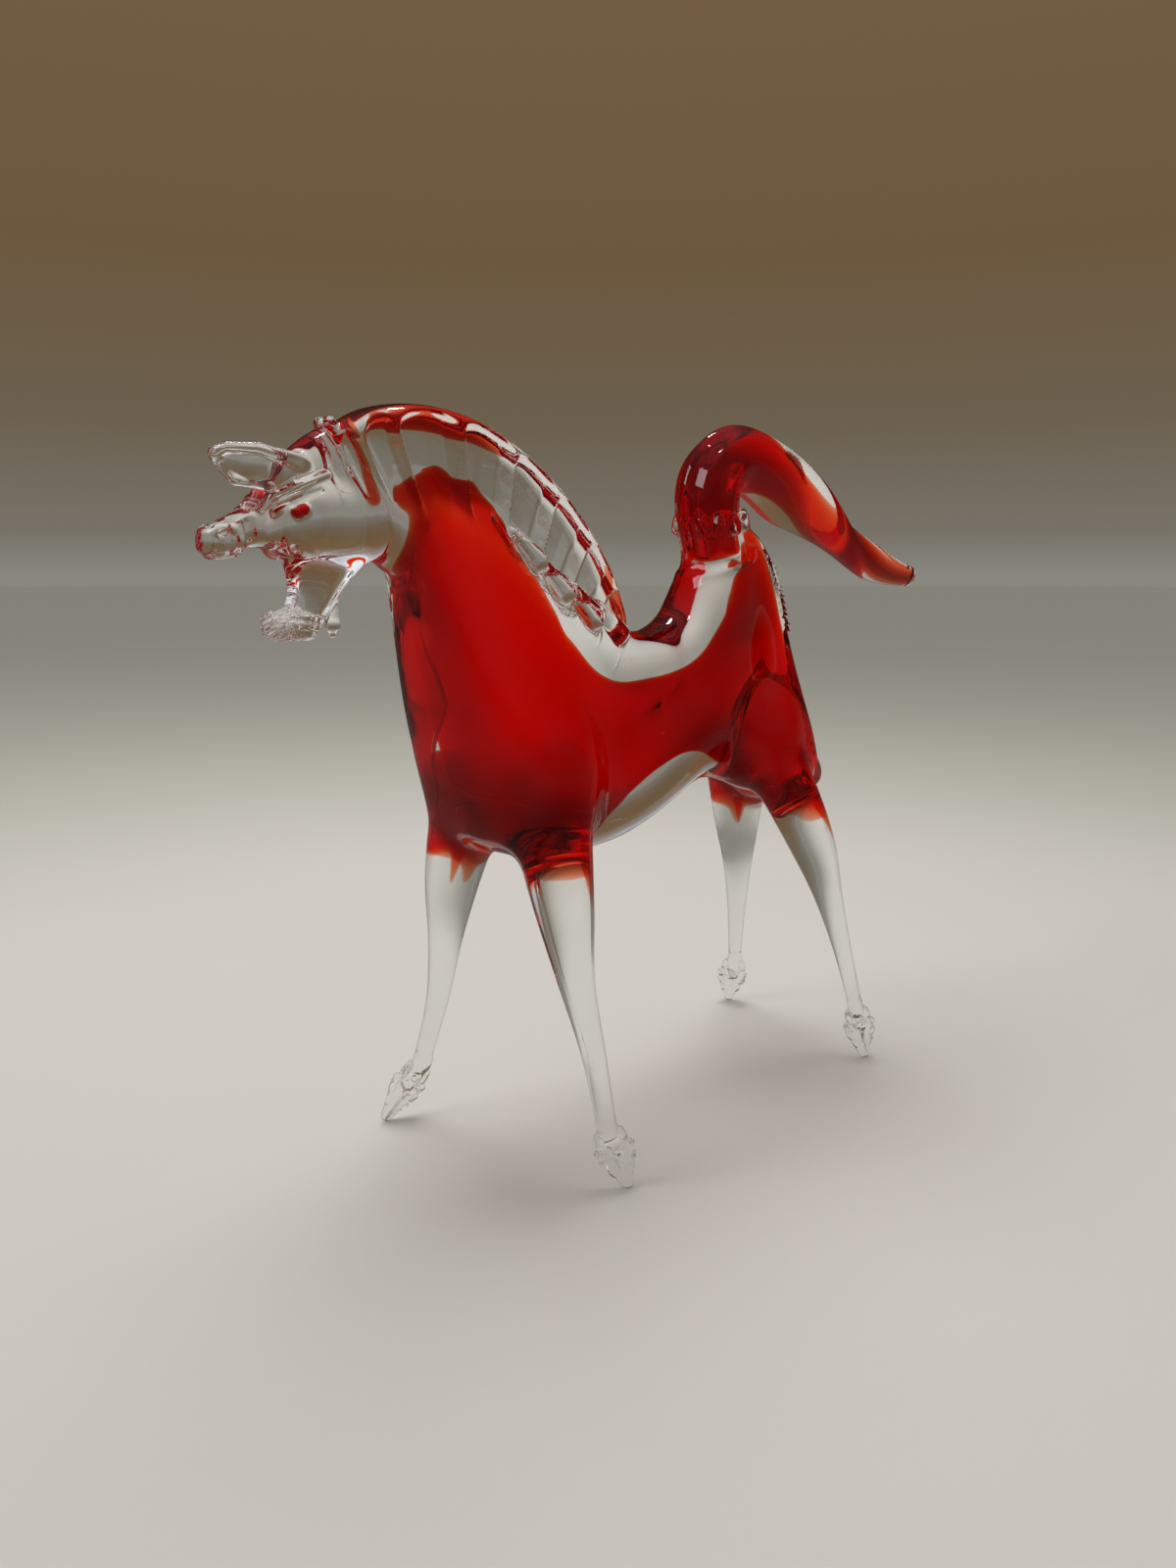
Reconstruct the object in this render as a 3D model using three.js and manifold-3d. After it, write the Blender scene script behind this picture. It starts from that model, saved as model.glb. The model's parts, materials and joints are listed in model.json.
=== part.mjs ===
// A glass horse, hot-worked from solid glass. A red gather is cased in clear and drawn up into a neck and a
// croup, and clear bits are fused on for the head, jaw, ears, mane, legs, hooves and tail.
// Millimetres, +Z up, +X towards the tail, +Y to the horse's right. The hooves stand on Z = 0.

import * as THREE from "three";
import { mergeVertices } from "three/addons/utils/BufferGeometryUtils.js";
import Module from "manifold-3d";

const wasm = await Module();
wasm.setup();

// Gap left between two glass masses where the flame fuses them.
const FUSE_GAP = 0.3;

// Body and neck: cross-sections from the throat to the rump. Each has its place along the horse, the heights
// of its underside and topline, and its half-widths low down (barrel) and high up (neck or croup).
const BODY = [
  { x: -58, under: 97, top: 108, low: 4, high: 4 },
  { x: -54.5, under: 85, top: 109, low: 7.5, high: 6 },
  { x: -51, under: 68, top: 109, low: 11, high: 7 },
  { x: -47, under: 57, top: 108.5, low: 14.5, high: 8 },
  { x: -42, under: 52.5, top: 106.5, low: 16, high: 8.5 },
  { x: -36, under: 50.5, top: 101, low: 16.8, high: 9.5 },
  { x: -26, under: 49.5, top: 91.5, low: 16.5, high: 11 },
  { x: -14, under: 50.5, top: 84.5, low: 15.5, high: 12 },
  { x: -4, under: 54, top: 84, low: 14.5, high: 12 },
  { x: 3, under: 57, top: 90, low: 14, high: 11 },
  { x: 8, under: 58, top: 101, low: 14.5, high: 10 },
  { x: 14, under: 57, top: 105, low: 15.5, high: 10 },
  { x: 22, under: 54, top: 104, low: 16, high: 10.5 },
  { x: 28, under: 52, top: 98, low: 15, high: 10.5 },
  { x: 32, under: 51, top: 85, low: 13.5, high: 9.5 },
  { x: 35.5, under: 51, top: 71, low: 11, high: 8 },
  { x: 39.5, under: 53, top: 59, low: 5, high: 4 },
];
const BODY_RINGS = 30;
const BODY_SIDES = 18;

// Clear casing over the red core: its thickness under the belly, over the back and at the sides, by the place
// along the body, and its thickness at the throat and at the rump.
const CASING = [
  { x: -58, belly: 2, back: 2, side: 1.4 },
  { x: -47, belly: 2, back: 2.4, side: 1.8 },
  { x: -34, belly: 2.4, back: 3, side: 1.8 },
  { x: -16, belly: 5.5, back: 6.5, side: 1.8 },
  { x: -2, belly: 6.5, back: 8, side: 1.8 },
  { x: 7, belly: 5.5, back: 7, side: 1.8 },
  { x: 14, belly: 4, back: 4, side: 1.8 },
  { x: 28, belly: 2.6, back: 2.6, side: 1.8 },
  { x: 39.5, belly: 2, back: 1.6, side: 1.4 },
];
const THROAT_WALL = 3;
const RUMP_WALL = 2.2;
const CORE_RINGS = 28;

// Points of red that run from the core into the tops of the legs.
const CUSP = { hip: 4.6, tip: 2.2, tipHeight: 49 };
const CUSP_RINGS = 5;
const CUSP_SIDES = 10;

// Head: cross-sections of the skull and upper jaw from the nose to inside the neck, as for the body.
const HEAD = [
  { x: -86.4, under: 97.9, top: 100.9, low: 2, high: 1.7 },
  { x: -84.4, under: 97.5, top: 102.2, low: 3, high: 2.4 },
  { x: -81.5, under: 98.7, top: 103.8, low: 2.8, high: 2.4 },
  { x: -78.5, under: 98.6, top: 107, low: 3.6, high: 3 },
  { x: -75, under: 98.2, top: 111, low: 5, high: 4 },
  { x: -71, under: 97.8, top: 114, low: 6.2, high: 4.8 },
  { x: -67, under: 97.4, top: 115.6, low: 6.6, high: 5.2 },
  { x: -62, under: 97.6, top: 115.4, low: 6, high: 5.4 },
  { x: -56, under: 98.5, top: 111, low: 4.5, high: 4.5 },
];
const HEAD_RINGS = 18;
const HEAD_SIDES = 16;

// Lower jaw: level ovals from the chin, dropped open, up to inside the skull.
const JAW = [
  { z: 87.2, x: -74.4, y: 0, wide: 2.2, deep: 2.8 },
  { z: 89, x: -73.6, y: 0, wide: 2.8, deep: 4 },
  { z: 91, x: -71.8, y: 0, wide: 3, deep: 3.8 },
  { z: 93.5, x: -70.4, y: 0, wide: 3.2, deep: 3.4 },
  { z: 97.5, x: -69, y: 0, wide: 4.2, deep: 4.8 },
  { z: 104, x: -68.4, y: 0, wide: 4.4, deep: 5 },
];
const JAW_RINGS = 10;
const JAW_SIDES = 14;

// Ears: two flat pinched tongues that point forward over the brow, the left a little lower.
const EARS = {
  left: [
    { at: [-70, -2.6, 109], wide: 1.6, deep: 2.2 },
    { at: [-76, -2.8, 108.6], wide: 1.4, deep: 2.1 },
    { at: [-81, -2.8, 108], wide: 1.2, deep: 1.8 },
    { at: [-84.6, -2.6, 107.7], wide: 0.8, deep: 1 },
  ],
  right: [
    { at: [-70, 2.2, 111.2], wide: 1.6, deep: 2.2 },
    { at: [-76, 2.3, 111], wide: 1.4, deep: 1.9 },
    { at: [-80.5, 2.2, 110.8], wide: 1.2, deep: 1.5 },
    { at: [-84, 2, 110.6], wide: 0.8, deep: 0.9 },
  ],
};
const EAR_RINGS = 9;
const EAR_SIDES = 10;

// Eyes: beads half sunk in the sides of the skull. The angle goes round the skull's section, in degrees from
// its underside.
const EYE = { x: -76.2, angle: 88, radius: 1.5 };
const EYE_SIDES = 12;

// Mane: a fin pressed along the crest of the neck by a ribbed tool. Each station has the crest's place and
// height, the root's place and height inside the neck, and the fin's half-thickness.
const MANE = [
  { crest: [-68.5, 114.6], root: [-63, 104], thick: 2.6 },
  { crest: [-62, 118], root: [-57, 103], thick: 3.2 },
  { crest: [-53, 119], root: [-50, 102], thick: 3.6 },
  { crest: [-43, 117.3], root: [-44, 100], thick: 3.8 },
  { crest: [-34, 113], root: [-38.5, 96], thick: 3.8 },
  { crest: [-26, 107], root: [-33, 90], thick: 3.8 },
  { crest: [-19, 99.5], root: [-28, 85], thick: 3.8 },
  { crest: [-14, 91], root: [-22, 80], thick: 3.6 },
  { crest: [-12.5, 84.5], root: [-17, 78], thick: 3 },
];
const MANE_LOBES = 8;
const MANE_GROOVE = 1.5;
const GROOVE_SHARPNESS = 4;
const CREST_NOTCH = 0.9;
const RINGS_PER_LOBE = 6;
const MANE_SIDES = 12;

// Legs: half-widths across and along the horse at five heights of the drawn glass, from inside the body to
// the fetlock. Each leg has its own stance, by the place of its middle at those heights and of its toe.
const LEG_HEIGHTS = { fetlock: 10, knee: 22, gaskin: 34, thigh: 44, hip: 64 };
const FRONT_LEG = {
  hip: { wide: 6.8, deep: 7.5 },
  thigh: { wide: 4.4, deep: 4.8 },
  gaskin: { wide: 2.9, deep: 3.1 },
  knee: { wide: 1.9, deep: 2 },
  fetlock: { wide: 1.5, deep: 1.6 },
};
const HIND_LEG = {
  hip: { wide: 6.4, deep: 7.5 },
  thigh: { wide: 4.4, deep: 5 },
  gaskin: { wide: 2.8, deep: 3.2 },
  knee: { wide: 1.8, deep: 1.9 },
  fetlock: { wide: 1.3, deep: 1.4 },
};
const LEGS = {
  front_left: {
    ovals: FRONT_LEG,
    hip: [-35, -6],
    thigh: [-37.8, -13.6],
    gaskin: [-37.8, -16],
    knee: [-36.6, -18.8],
    fetlock: [-35.7, -21],
    toe: [-33.2, -23],
  },
  front_right: {
    ovals: FRONT_LEG,
    hip: [-38.5, 6],
    thigh: [-39.3, 12.8],
    gaskin: [-39.5, 14.8],
    knee: [-40, 17],
    fetlock: [-41.8, 19.8],
    toe: [-47.4, 22.6],
  },
  hind_left: {
    ovals: HIND_LEG,
    hip: [22, -5],
    thigh: [28, -12.5],
    gaskin: [32.2, -13.5],
    knee: [35.6, -15.3],
    fetlock: [37.3, -17.9],
    toe: [38, -20],
  },
  hind_right: {
    ovals: HIND_LEG,
    hip: [26, 5],
    thigh: [35.2, 11.8],
    gaskin: [37.3, 13.1],
    knee: [40, 15.3],
    fetlock: [42.9, 17.8],
    toe: [43.3, 19.7],
  },
};
const LEG_RINGS = 15;
const LEG_SIDES = 12;

// Hooves: pinched below the fetlock so that they bulge, and cut flat at the sole.
const HOOF = { bulgeHeight: 5, bulgeWide: 2.8, bulgeDeep: 3.2, soleWide: 1.7, soleDeep: 2.3 };
const HOOF_RINGS = 7;

// Tail: a flattened cane from inside the croup, up over an arch and back to the tip, twisted as it is drawn.
// The reach is the tip's place behind the middle of the back, and the twist is in degrees.
const TAIL_REACH = 79;
const TAIL = [
  { at: [12, 0, 97], wide: 5, deep: 5, twist: 0 },
  { at: [10, 0, 106], wide: 5.4, deep: 5.8, twist: 0 },
  { at: [11, 0, 112.5], wide: 5.6, deep: 5.8, twist: 0 },
  { at: [17, 0, 116.6], wide: 5.4, deep: 5.6, twist: 10 },
  { at: [26, 0, 114.6], wide: 5, deep: 6.2, twist: 30 },
  { at: [36, 0, 109.8], wide: 4.4, deep: 6.8, twist: 60 },
  { at: [47, 0, 104.6], wide: 3.8, deep: 6.4, twist: 105 },
  { at: [58, 0, 100], wide: 3.2, deep: 5, twist: 150 },
  { at: [68, 0, 96.8], wide: 2.4, deep: 3.4, twist: 190 },
  { at: [TAIL_REACH, 0, 95], wide: 1.9, deep: 2.2, twist: 210 },
];
const TAIL_WALL = 1.1;
const TAIL_RINGS = 28;
const TAIL_SIDES = 14;

const CLEAR_GLASS = { color: 0xe9eceb, roughness: 0.03, metalness: 0, transparent: true, opacity: 0.35 };
const RED_GLASS = { color: 0xb3120a, roughness: 0.03, metalness: 0, transparent: true, opacity: 0.85 };

// Evenly spaced values from first to last, both included.
function spread(first, last, count) {
  return Array.from({ length: count }, (_, i) => THREE.MathUtils.lerp(first, last, i / (count - 1)));
}

// Evenly spaced angles round a full turn.
function turn(count) {
  return spread(0, 2 * Math.PI, count + 1).slice(0, -1);
}

// Reads rows of numbers, one row for each place, as a smooth curve.
function smoothRows(places, rows) {
  const width = rows[0].length;
  const curve = new THREE.CubicInterpolant(places, rows.flat(), width, new Array(width));
  return (place) => Array.from(curve.evaluate(place));
}

// A closed solid from points and triangles, turned to face outwards.
function solid(points, faces) {
  const build = (triangles) =>
    new wasm.Manifold(
      new wasm.Mesh({
        numProp: 3,
        vertProperties: new Float32Array(points.flatMap((p) => p.toArray())),
        triVerts: new Uint32Array(triangles.flat()),
      }),
    );
  const made = build(faces);
  return made.volume() > 0 ? made : build(faces.map(([a, b, c]) => [a, c, b]));
}

// A closed solid from a ready-made geometry.
function solidOf(geometry) {
  geometry.deleteAttribute("normal");
  geometry.deleteAttribute("uv");
  const merged = mergeVertices(geometry);
  const places = merged.getAttribute("position");
  const points = Array.from({ length: places.count }, (_, i) =>
    new THREE.Vector3().fromBufferAttribute(places, i),
  );
  const index = Array.from(merged.index.array);
  return solid(
    points,
    Array.from({ length: index.length / 3 }, (_, i) => index.slice(3 * i, 3 * i + 3)),
  );
}

// A closed solid through rings of points, each end closed by a fan to its middle.
function skin(rings) {
  const sides = rings[0].length;
  const points = rings.flat();
  const faces = [];
  for (let ring = 0; ring + 1 < rings.length; ring++) {
    for (let side = 0; side < sides; side++) {
      const a = ring * sides + side;
      const b = ring * sides + ((side + 1) % sides);
      faces.push([a, b, b + sides], [a, b + sides, a + sides]);
    }
  }
  for (const ring of [0, rings.length - 1]) {
    const middle = points.length;
    points.push(rings[ring].reduce((sum, p) => sum.add(p), new THREE.Vector3()).divideScalar(sides));
    for (let side = 0; side < sides; side++) {
      const a = ring * sides + side;
      const b = ring * sides + ((side + 1) % sides);
      faces.push(ring === 0 ? [middle, b, a] : [middle, a, b]);
    }
  }
  return solid(points, faces);
}

// A tube of oval rings along a spine, its width across the horse and its depth in the horse's middle plane.
function tube(stations, rings, sides, grow = 0) {
  const spine = new THREE.CatmullRomCurve3(stations.map((s) => new THREE.Vector3(...s.at)));
  const last = stations.length - 1;
  const ovals = smoothRows(
    stations.map((_, i) => i / last),
    stations.map((s) => [s.wide + grow, s.deep + grow, s.twist ?? 0]),
  );
  const across = new THREE.Vector3(0, 1, 0);
  return skin(
    spread(0, 1, rings).map((t, ring) => {
      const [wide, deep, degrees] = ovals(t);
      const run = spine.getTangent(t);
      const end = ring === 0 ? -grow : ring === rings - 1 ? grow : 0;
      const middle = spine.getPoint(t).addScaledVector(run, end);
      const width = across.clone().addScaledVector(run, -run.dot(across)).normalize();
      width.applyAxisAngle(run, THREE.MathUtils.degToRad(degrees));
      const depth = new THREE.Vector3().crossVectors(run, width);
      return turn(sides).map((angle) =>
        middle
          .clone()
          .addScaledVector(width, wide * Math.cos(angle))
          .addScaledVector(depth, deep * Math.sin(angle)),
      );
    }),
  );
}

// A solid of level ovals, one above the other, given from the lowest up, or the same solid grown all round.
function stack(ovals, rings, sides, grow = 0) {
  const first = ovals[0].z;
  const last = ovals[ovals.length - 1].z;
  const ovalAt = smoothRows(
    ovals.map((o) => o.z),
    ovals.map((o) => [o.x, o.y, o.wide, o.deep]),
  );
  return skin(
    spread(0, 1, rings).map((t) => {
      const [x, y, wide, deep] = ovalAt(THREE.MathUtils.lerp(first, last, t));
      const z = THREE.MathUtils.lerp(first - grow, last + grow, t);
      return turn(sides).map(
        (angle) =>
          new THREE.Vector3(x + (deep + grow) * Math.cos(angle), y + (wide + grow) * Math.sin(angle), z),
      );
    }),
  );
}

// Half-width of a pear-shaped section between its low and high values, at a share of its height.
function pearWidth(low, high, climb) {
  return THREE.MathUtils.lerp(low, high, THREE.MathUtils.smoothstep(climb, 0, 1));
}

// A point on a pear-shaped section across the horse, at an angle from its underside up the left side.
function pearPoint(x, [under, top, low, high], angle) {
  const climb = (1 - Math.cos(angle)) / 2;
  const y = -pearWidth(low, high, climb) * Math.sin(angle);
  return new THREE.Vector3(x, y, THREE.MathUtils.lerp(under, top, climb));
}

// A pear-shaped ring across the horse, wide low down and narrower at the topline.
function pearRing(x, section, sides) {
  return turn(sides).map((angle) => pearPoint(x, section, angle));
}

// Pear-shaped sections as a smooth curve along the horse.
function sectionsOf(stations) {
  return smoothRows(
    stations.map((s) => s.x),
    stations.map((s) => [s.under, s.top, s.low, s.high]),
  );
}

const bodyAt = sectionsOf(BODY);
const headAt = sectionsOf(HEAD);
const casingAt = smoothRows(
  CASING.map((s) => s.x),
  CASING.map((s) => [s.belly, s.back, s.side]),
);

// A solid through pear-shaped sections, or the same solid grown all round.
function pearMass(stations, sectionAt, rings, sides, grow = 0) {
  const first = stations[0].x;
  const last = stations[stations.length - 1].x;
  return skin(
    spread(0, 1, rings).map((t) => {
      const [under, top, low, high] = sectionAt(THREE.MathUtils.lerp(first, last, t));
      const x = THREE.MathUtils.lerp(first - grow, last + grow, t);
      return pearRing(x, [under - grow, top + grow, low + grow, high + grow], sides);
    }),
  );
}

const bodyMass = (grow) => pearMass(BODY, bodyAt, BODY_RINGS, BODY_SIDES, grow);
const headMass = (grow) => pearMass(HEAD, headAt, HEAD_RINGS, HEAD_SIDES, grow);

// The red gather: the body drawn in by the casing's thickness, or the same gather grown all round.
function gather(grow = 0) {
  const first = BODY[0].x;
  const last = BODY[BODY.length - 1].x;
  return skin(
    spread(0, 1, CORE_RINGS).map((t) => {
      const place = THREE.MathUtils.lerp(first, last, t);
      const [under, top, low, high] = bodyAt(place);
      const [belly, back, side] = casingAt(place);
      const x = THREE.MathUtils.lerp(first + THROAT_WALL - grow, last - RUMP_WALL + grow, t);
      const section = [under + belly - grow, top - back + grow, low - side + grow, high - side + grow];
      return pearRing(x, section, BODY_SIDES);
    }),
  );
}

// The middle of a leg at one of its named heights.
function legAt(leg, name) {
  const [x, y] = leg[name];
  return { z: LEG_HEIGHTS[name], x, y };
}

// A point of red from the core down the middle of a leg.
function cusp(leg, grow = 0) {
  const hip = legAt(leg, "hip");
  const thigh = legAt(leg, "thigh");
  const share = (CUSP.tipHeight - thigh.z) / (hip.z - thigh.z);
  const x = THREE.MathUtils.lerp(thigh.x, hip.x, share);
  const y = THREE.MathUtils.lerp(thigh.y, hip.y, share);
  const ovals = [
    { z: CUSP.tipHeight, x, y, wide: CUSP.tip, deep: CUSP.tip },
    { ...hip, wide: CUSP.hip, deep: CUSP.hip },
  ];
  return stack(ovals, CUSP_RINGS, CUSP_SIDES, grow);
}

// A leg drawn from inside the body down to the fetlock.
function drawnLeg(leg) {
  const ovals = Object.keys(LEG_HEIGHTS).map((name) => ({ ...legAt(leg, name), ...leg.ovals[name] }));
  return stack(ovals, LEG_RINGS, LEG_SIDES);
}

// A hoof from just below the fetlock to its flat sole on the ground.
function hoof(leg) {
  const fetlock = legAt(leg, "fetlock");
  const share = HOOF.bulgeHeight / fetlock.z;
  const [toeX, toeY] = leg.toe;
  const x = THREE.MathUtils.lerp(toeX, fetlock.x, share);
  const y = THREE.MathUtils.lerp(toeY, fetlock.y, share);
  const ovals = [
    { z: 0, x: toeX, y: toeY, wide: HOOF.soleWide, deep: HOOF.soleDeep },
    { z: HOOF.bulgeHeight, x, y, wide: HOOF.bulgeWide, deep: HOOF.bulgeDeep },
    { ...fetlock, ...leg.ovals.fetlock, z: fetlock.z - FUSE_GAP },
  ];
  return stack(ovals, HOOF_RINGS, LEG_SIDES);
}

// The red cane in the middle of the tail, or the same cane grown all round.
function tailCane(grow = 0) {
  const cane = TAIL.map((s) => ({ ...s, wide: s.wide - TAIL_WALL, deep: s.deep - TAIL_WALL }));
  return tube(cane, TAIL_RINGS, TAIL_SIDES, grow);
}

// All the red glass within the body, or the same grown all round.
function redCore(grow = 0) {
  const cusps = Object.values(LEGS).map((leg) => cusp(leg, grow));
  return cusps.reduce((core, point) => core.add(point), gather(grow));
}

// The fin of the mane: rounded lobes parted by grooves, thinner at the crest.
function maneFin() {
  const last = MANE.length - 1;
  const stationAt = smoothRows(
    MANE.map((_, i) => i / last),
    MANE.map((s) => [...s.crest, ...s.root, s.thick]),
  );
  return skin(
    spread(0, 1, MANE_LOBES * RINGS_PER_LOBE + 1).map((t) => {
      const [crestX, crestZ, rootX, rootZ, thick] = stationAt(t);
      const groove = Math.abs(Math.cos(Math.PI * MANE_LOBES * t)) ** GROOVE_SHARPNESS;
      const root = new THREE.Vector3(rootX, 0, rootZ);
      const rise = new THREE.Vector3(crestX, 0, crestZ).sub(root);
      rise.setLength(rise.length() - CREST_NOTCH * groove);
      return turn(MANE_SIDES).map((angle) => {
        const climb = (1 - Math.cos(angle)) / 2;
        const point = root.clone().addScaledVector(rise, climb);
        return point.setY(-(thick - MANE_GROOVE * groove) * Math.sin(angle));
      });
    }),
  );
}

// An eye bead with its middle on the side of the skull: side is -1 for the left and 1 for the right.
function eyeBead(side, grow = 0) {
  const middle = pearPoint(EYE.x, headAt(EYE.x), THREE.MathUtils.degToRad(EYE.angle));
  const ball = new THREE.SphereGeometry(EYE.radius + grow, EYE_SIDES, EYE_SIDES / 2);
  return solidOf(ball.translate(middle.x, -side * middle.y, middle.z));
}

const horse = new THREE.Group();

// Adds a solid to the horse as a named mesh of one of the two glasses.
function place(name, made, glass) {
  const { vertProperties, triVerts } = made.getMesh();
  const geometry = new THREE.BufferGeometry();
  geometry.setAttribute("position", new THREE.BufferAttribute(vertProperties, 3));
  geometry.setIndex(new THREE.BufferAttribute(triVerts, 1));
  geometry.computeVertexNormals();
  const mesh = new THREE.Mesh(geometry, new THREE.MeshStandardMaterial(glass));
  mesh.name = name;
  horse.add(mesh);
}

const body = bodyMass(0);
const bodyRoom = bodyMass(FUSE_GAP);
const headRoom = headMass(FUSE_GAP);
const caneRoom = tailCane(FUSE_GAP);
const coreRoom = redCore(FUSE_GAP);
const ear = (side, grow) => tube(EARS[side], EAR_RINGS, EAR_SIDES, grow);

// The red core meets the cane of the tail through an opening in the croup.
place("body_core", redCore().add(tailCane().intersect(body)), RED_GLASS);
place("body_casing", body.subtract(coreRoom).subtract(caneRoom), CLEAR_GLASS);

const skull = headMass(0).subtract(bodyRoom).subtract(coreRoom);
place("head", skull.subtract(eyeBead(-1, FUSE_GAP)).subtract(eyeBead(1, FUSE_GAP)), CLEAR_GLASS);
place("lower_jaw", stack(JAW, JAW_RINGS, JAW_SIDES).subtract(headRoom).subtract(bodyRoom), CLEAR_GLASS);
place("eye_left", eyeBead(-1), RED_GLASS);
place("eye_right", eyeBead(1), RED_GLASS);
place("ear_left", ear("left", 0).subtract(headRoom), CLEAR_GLASS);
place("ear_right", ear("right", 0).subtract(headRoom).subtract(ear("left", FUSE_GAP)), CLEAR_GLASS);

const fin = maneFin().subtract(bodyRoom).subtract(headRoom);
place("mane", fin.subtract(ear("left", FUSE_GAP)).subtract(ear("right", FUSE_GAP)), CLEAR_GLASS);

for (const [name, leg] of Object.entries(LEGS)) {
  place(`${name}_leg`, drawnLeg(leg).subtract(bodyRoom).subtract(coreRoom), CLEAR_GLASS);
  place(`${name}_hoof`, hoof(leg), CLEAR_GLASS);
}

const tail = tube(TAIL, TAIL_RINGS, TAIL_SIDES).subtract(bodyRoom);
place("tail_core", tailCane().subtract(bodyRoom), RED_GLASS);
place("tail_casing", tail.subtract(caneRoom), CLEAR_GLASS);

// The origin is on the ground, under the middle of the horse's box.
const box = new THREE.Box3().setFromObject(horse);
const middle = box.getCenter(new THREE.Vector3());
horse.children.forEach((mesh) => mesh.geometry.translate(-middle.x, -middle.y, -box.min.z));

export default horse;
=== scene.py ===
# %% [markdown]
# # A horse of red and clear glass
# A glassworker makes this ornament in a few minutes of heat. A red gather is dipped in clear glass and
# pulled into a body, and hot clear bits are put on for the head, mane, legs and tail. They are pinched
# with toothed tweezers while they glow. This lesson makes it in the same order, in the millimetres of the
# maker's bench.

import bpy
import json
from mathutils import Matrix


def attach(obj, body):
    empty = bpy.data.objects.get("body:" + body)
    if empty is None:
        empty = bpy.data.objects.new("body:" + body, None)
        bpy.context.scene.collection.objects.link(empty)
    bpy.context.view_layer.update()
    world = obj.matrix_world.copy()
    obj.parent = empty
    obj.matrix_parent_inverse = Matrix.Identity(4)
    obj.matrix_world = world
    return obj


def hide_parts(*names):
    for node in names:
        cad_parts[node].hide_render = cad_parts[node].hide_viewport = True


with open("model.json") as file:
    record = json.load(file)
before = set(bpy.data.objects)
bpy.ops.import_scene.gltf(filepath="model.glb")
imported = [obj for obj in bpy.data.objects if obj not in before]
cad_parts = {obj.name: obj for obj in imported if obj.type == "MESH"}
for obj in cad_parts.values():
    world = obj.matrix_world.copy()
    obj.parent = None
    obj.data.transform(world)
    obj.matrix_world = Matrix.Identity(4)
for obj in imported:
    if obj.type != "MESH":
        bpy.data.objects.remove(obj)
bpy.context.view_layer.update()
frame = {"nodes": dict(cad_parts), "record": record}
print("nodes in the frame:", len(frame["nodes"]))

# %% [markdown]
# ## One place for everything
# The sizes below are measured from a point on the table under the horse, with X to the tail, Y to the
# horse's right and Z up. The frame has its own origin, in metres. The sole of one hoof is known in both,
# so the difference between the two gives the shift, and nothing has to be fitted by eye.

# %% From bench millimetres to frame metres
import json
import math

import bpy
import numpy as np
import openvdb
from mathutils import Vector

MM = 0.001
FRONT_LEFT_TOE = (-33.2, -23.0)

soles = {mount["name"]: mount["pos_m"] for mount in frame["record"]["mounts"]}
front_left_sole = soles["front_left_sole"]
SHIFT = np.array(
    [front_left_sole[0] / MM - FRONT_LEFT_TOE[0], front_left_sole[1] / MM - FRONT_LEFT_TOE[1], 0.0]
)


def to_frame(points):
    """Bench points, in millimetres, as frame points, in metres."""
    return (np.asarray(points, float) + SHIFT) * MM


print("shift in mm:", SHIFT.round(3))

# %% [markdown]
# ## The camera
# The picture was taken close up with a wide lens, from a little below the height of the mane, looking at
# the horse's left shoulder. A camera that close makes the near hoof large and the tail small, so its
# distance matters more than its zoom. The lens follows from the focal length in pixels of a 1200 by 1600
# picture.

# %% Camera
PHOTO_LONG_SIDE = 1600
FOCAL_PIXELS = 1200
SENSOR_MM = 36.0
NEAREST_SEEN = 0.005
CAMERA_PLACE = (-156.4, -142.8, 95.0)
CAMERA_HEADING = math.radians(46.27)
CAMERA_PITCH = math.radians(10.0)

camera_data = bpy.data.cameras.new("photo_camera")
camera_data.sensor_width = SENSOR_MM
camera_data.lens = FOCAL_PIXELS / PHOTO_LONG_SIDE * SENSOR_MM
camera_data.clip_start = NEAREST_SEEN
camera = bpy.data.objects.new("photo_camera", camera_data)
camera.location = to_frame(CAMERA_PLACE)
aim = Vector(
    (
        math.cos(CAMERA_HEADING) * math.cos(CAMERA_PITCH),
        math.sin(CAMERA_HEADING) * math.cos(CAMERA_PITCH),
        -math.sin(CAMERA_PITCH),
    )
)
camera.rotation_euler = aim.to_track_quat("-Z", "Y").to_euler()
bpy.context.scene.collection.objects.link(camera)
bpy.context.scene.camera = camera
bpy.context.scene.view_settings.view_transform = "Standard"
print("lens in mm:", round(camera_data.lens, 2))

# %% [markdown]
# ## Hot glass as a field
# Where two hot bits touch, glass flows together and leaves a rounded fillet, never an edge. Lofted meshes
# joined by booleans would show a crease there, and a subdivided cage would need a hand-made flow of
# faces. Here each mass is a field instead: a rule that gives the gap from any point to its surface, less
# than zero inside. Two masses melt together when the smaller gap is taken and rounded over where the two
# are alike.

# %% Fields and melting


class Form:
    """A mass of glass: the box that it lies in and the gap from points on three axes to its surface."""

    def __init__(self, low, high, gap):
        self.low = np.asarray(low, float)
        self.high = np.asarray(high, float)
        self.gap = gap


def melt(first, second, radius):
    """The smaller of two gaps, with a fillet of about that radius where they are alike."""
    if radius == 0:
        return np.minimum(first, second)
    alike = np.maximum(radius - np.abs(first - second), 0) / radius
    return np.minimum(first, second) - alike * alike * radius / 4


LEAST_STEEP = 0.02


def settle(level, axes):
    """Turns a level that is zero at the surface into a gap in millimetres."""
    step = float(axes[0][1] - axes[0][0])
    steep = np.sqrt(sum(side * side for side in np.gradient(level, step)))
    return level / np.maximum(steep, LEAST_STEEP)


print("fillet of 2 mm where two gaps are both 1 mm:", melt(1.0, 1.0, 2.0), "mm left")

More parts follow.
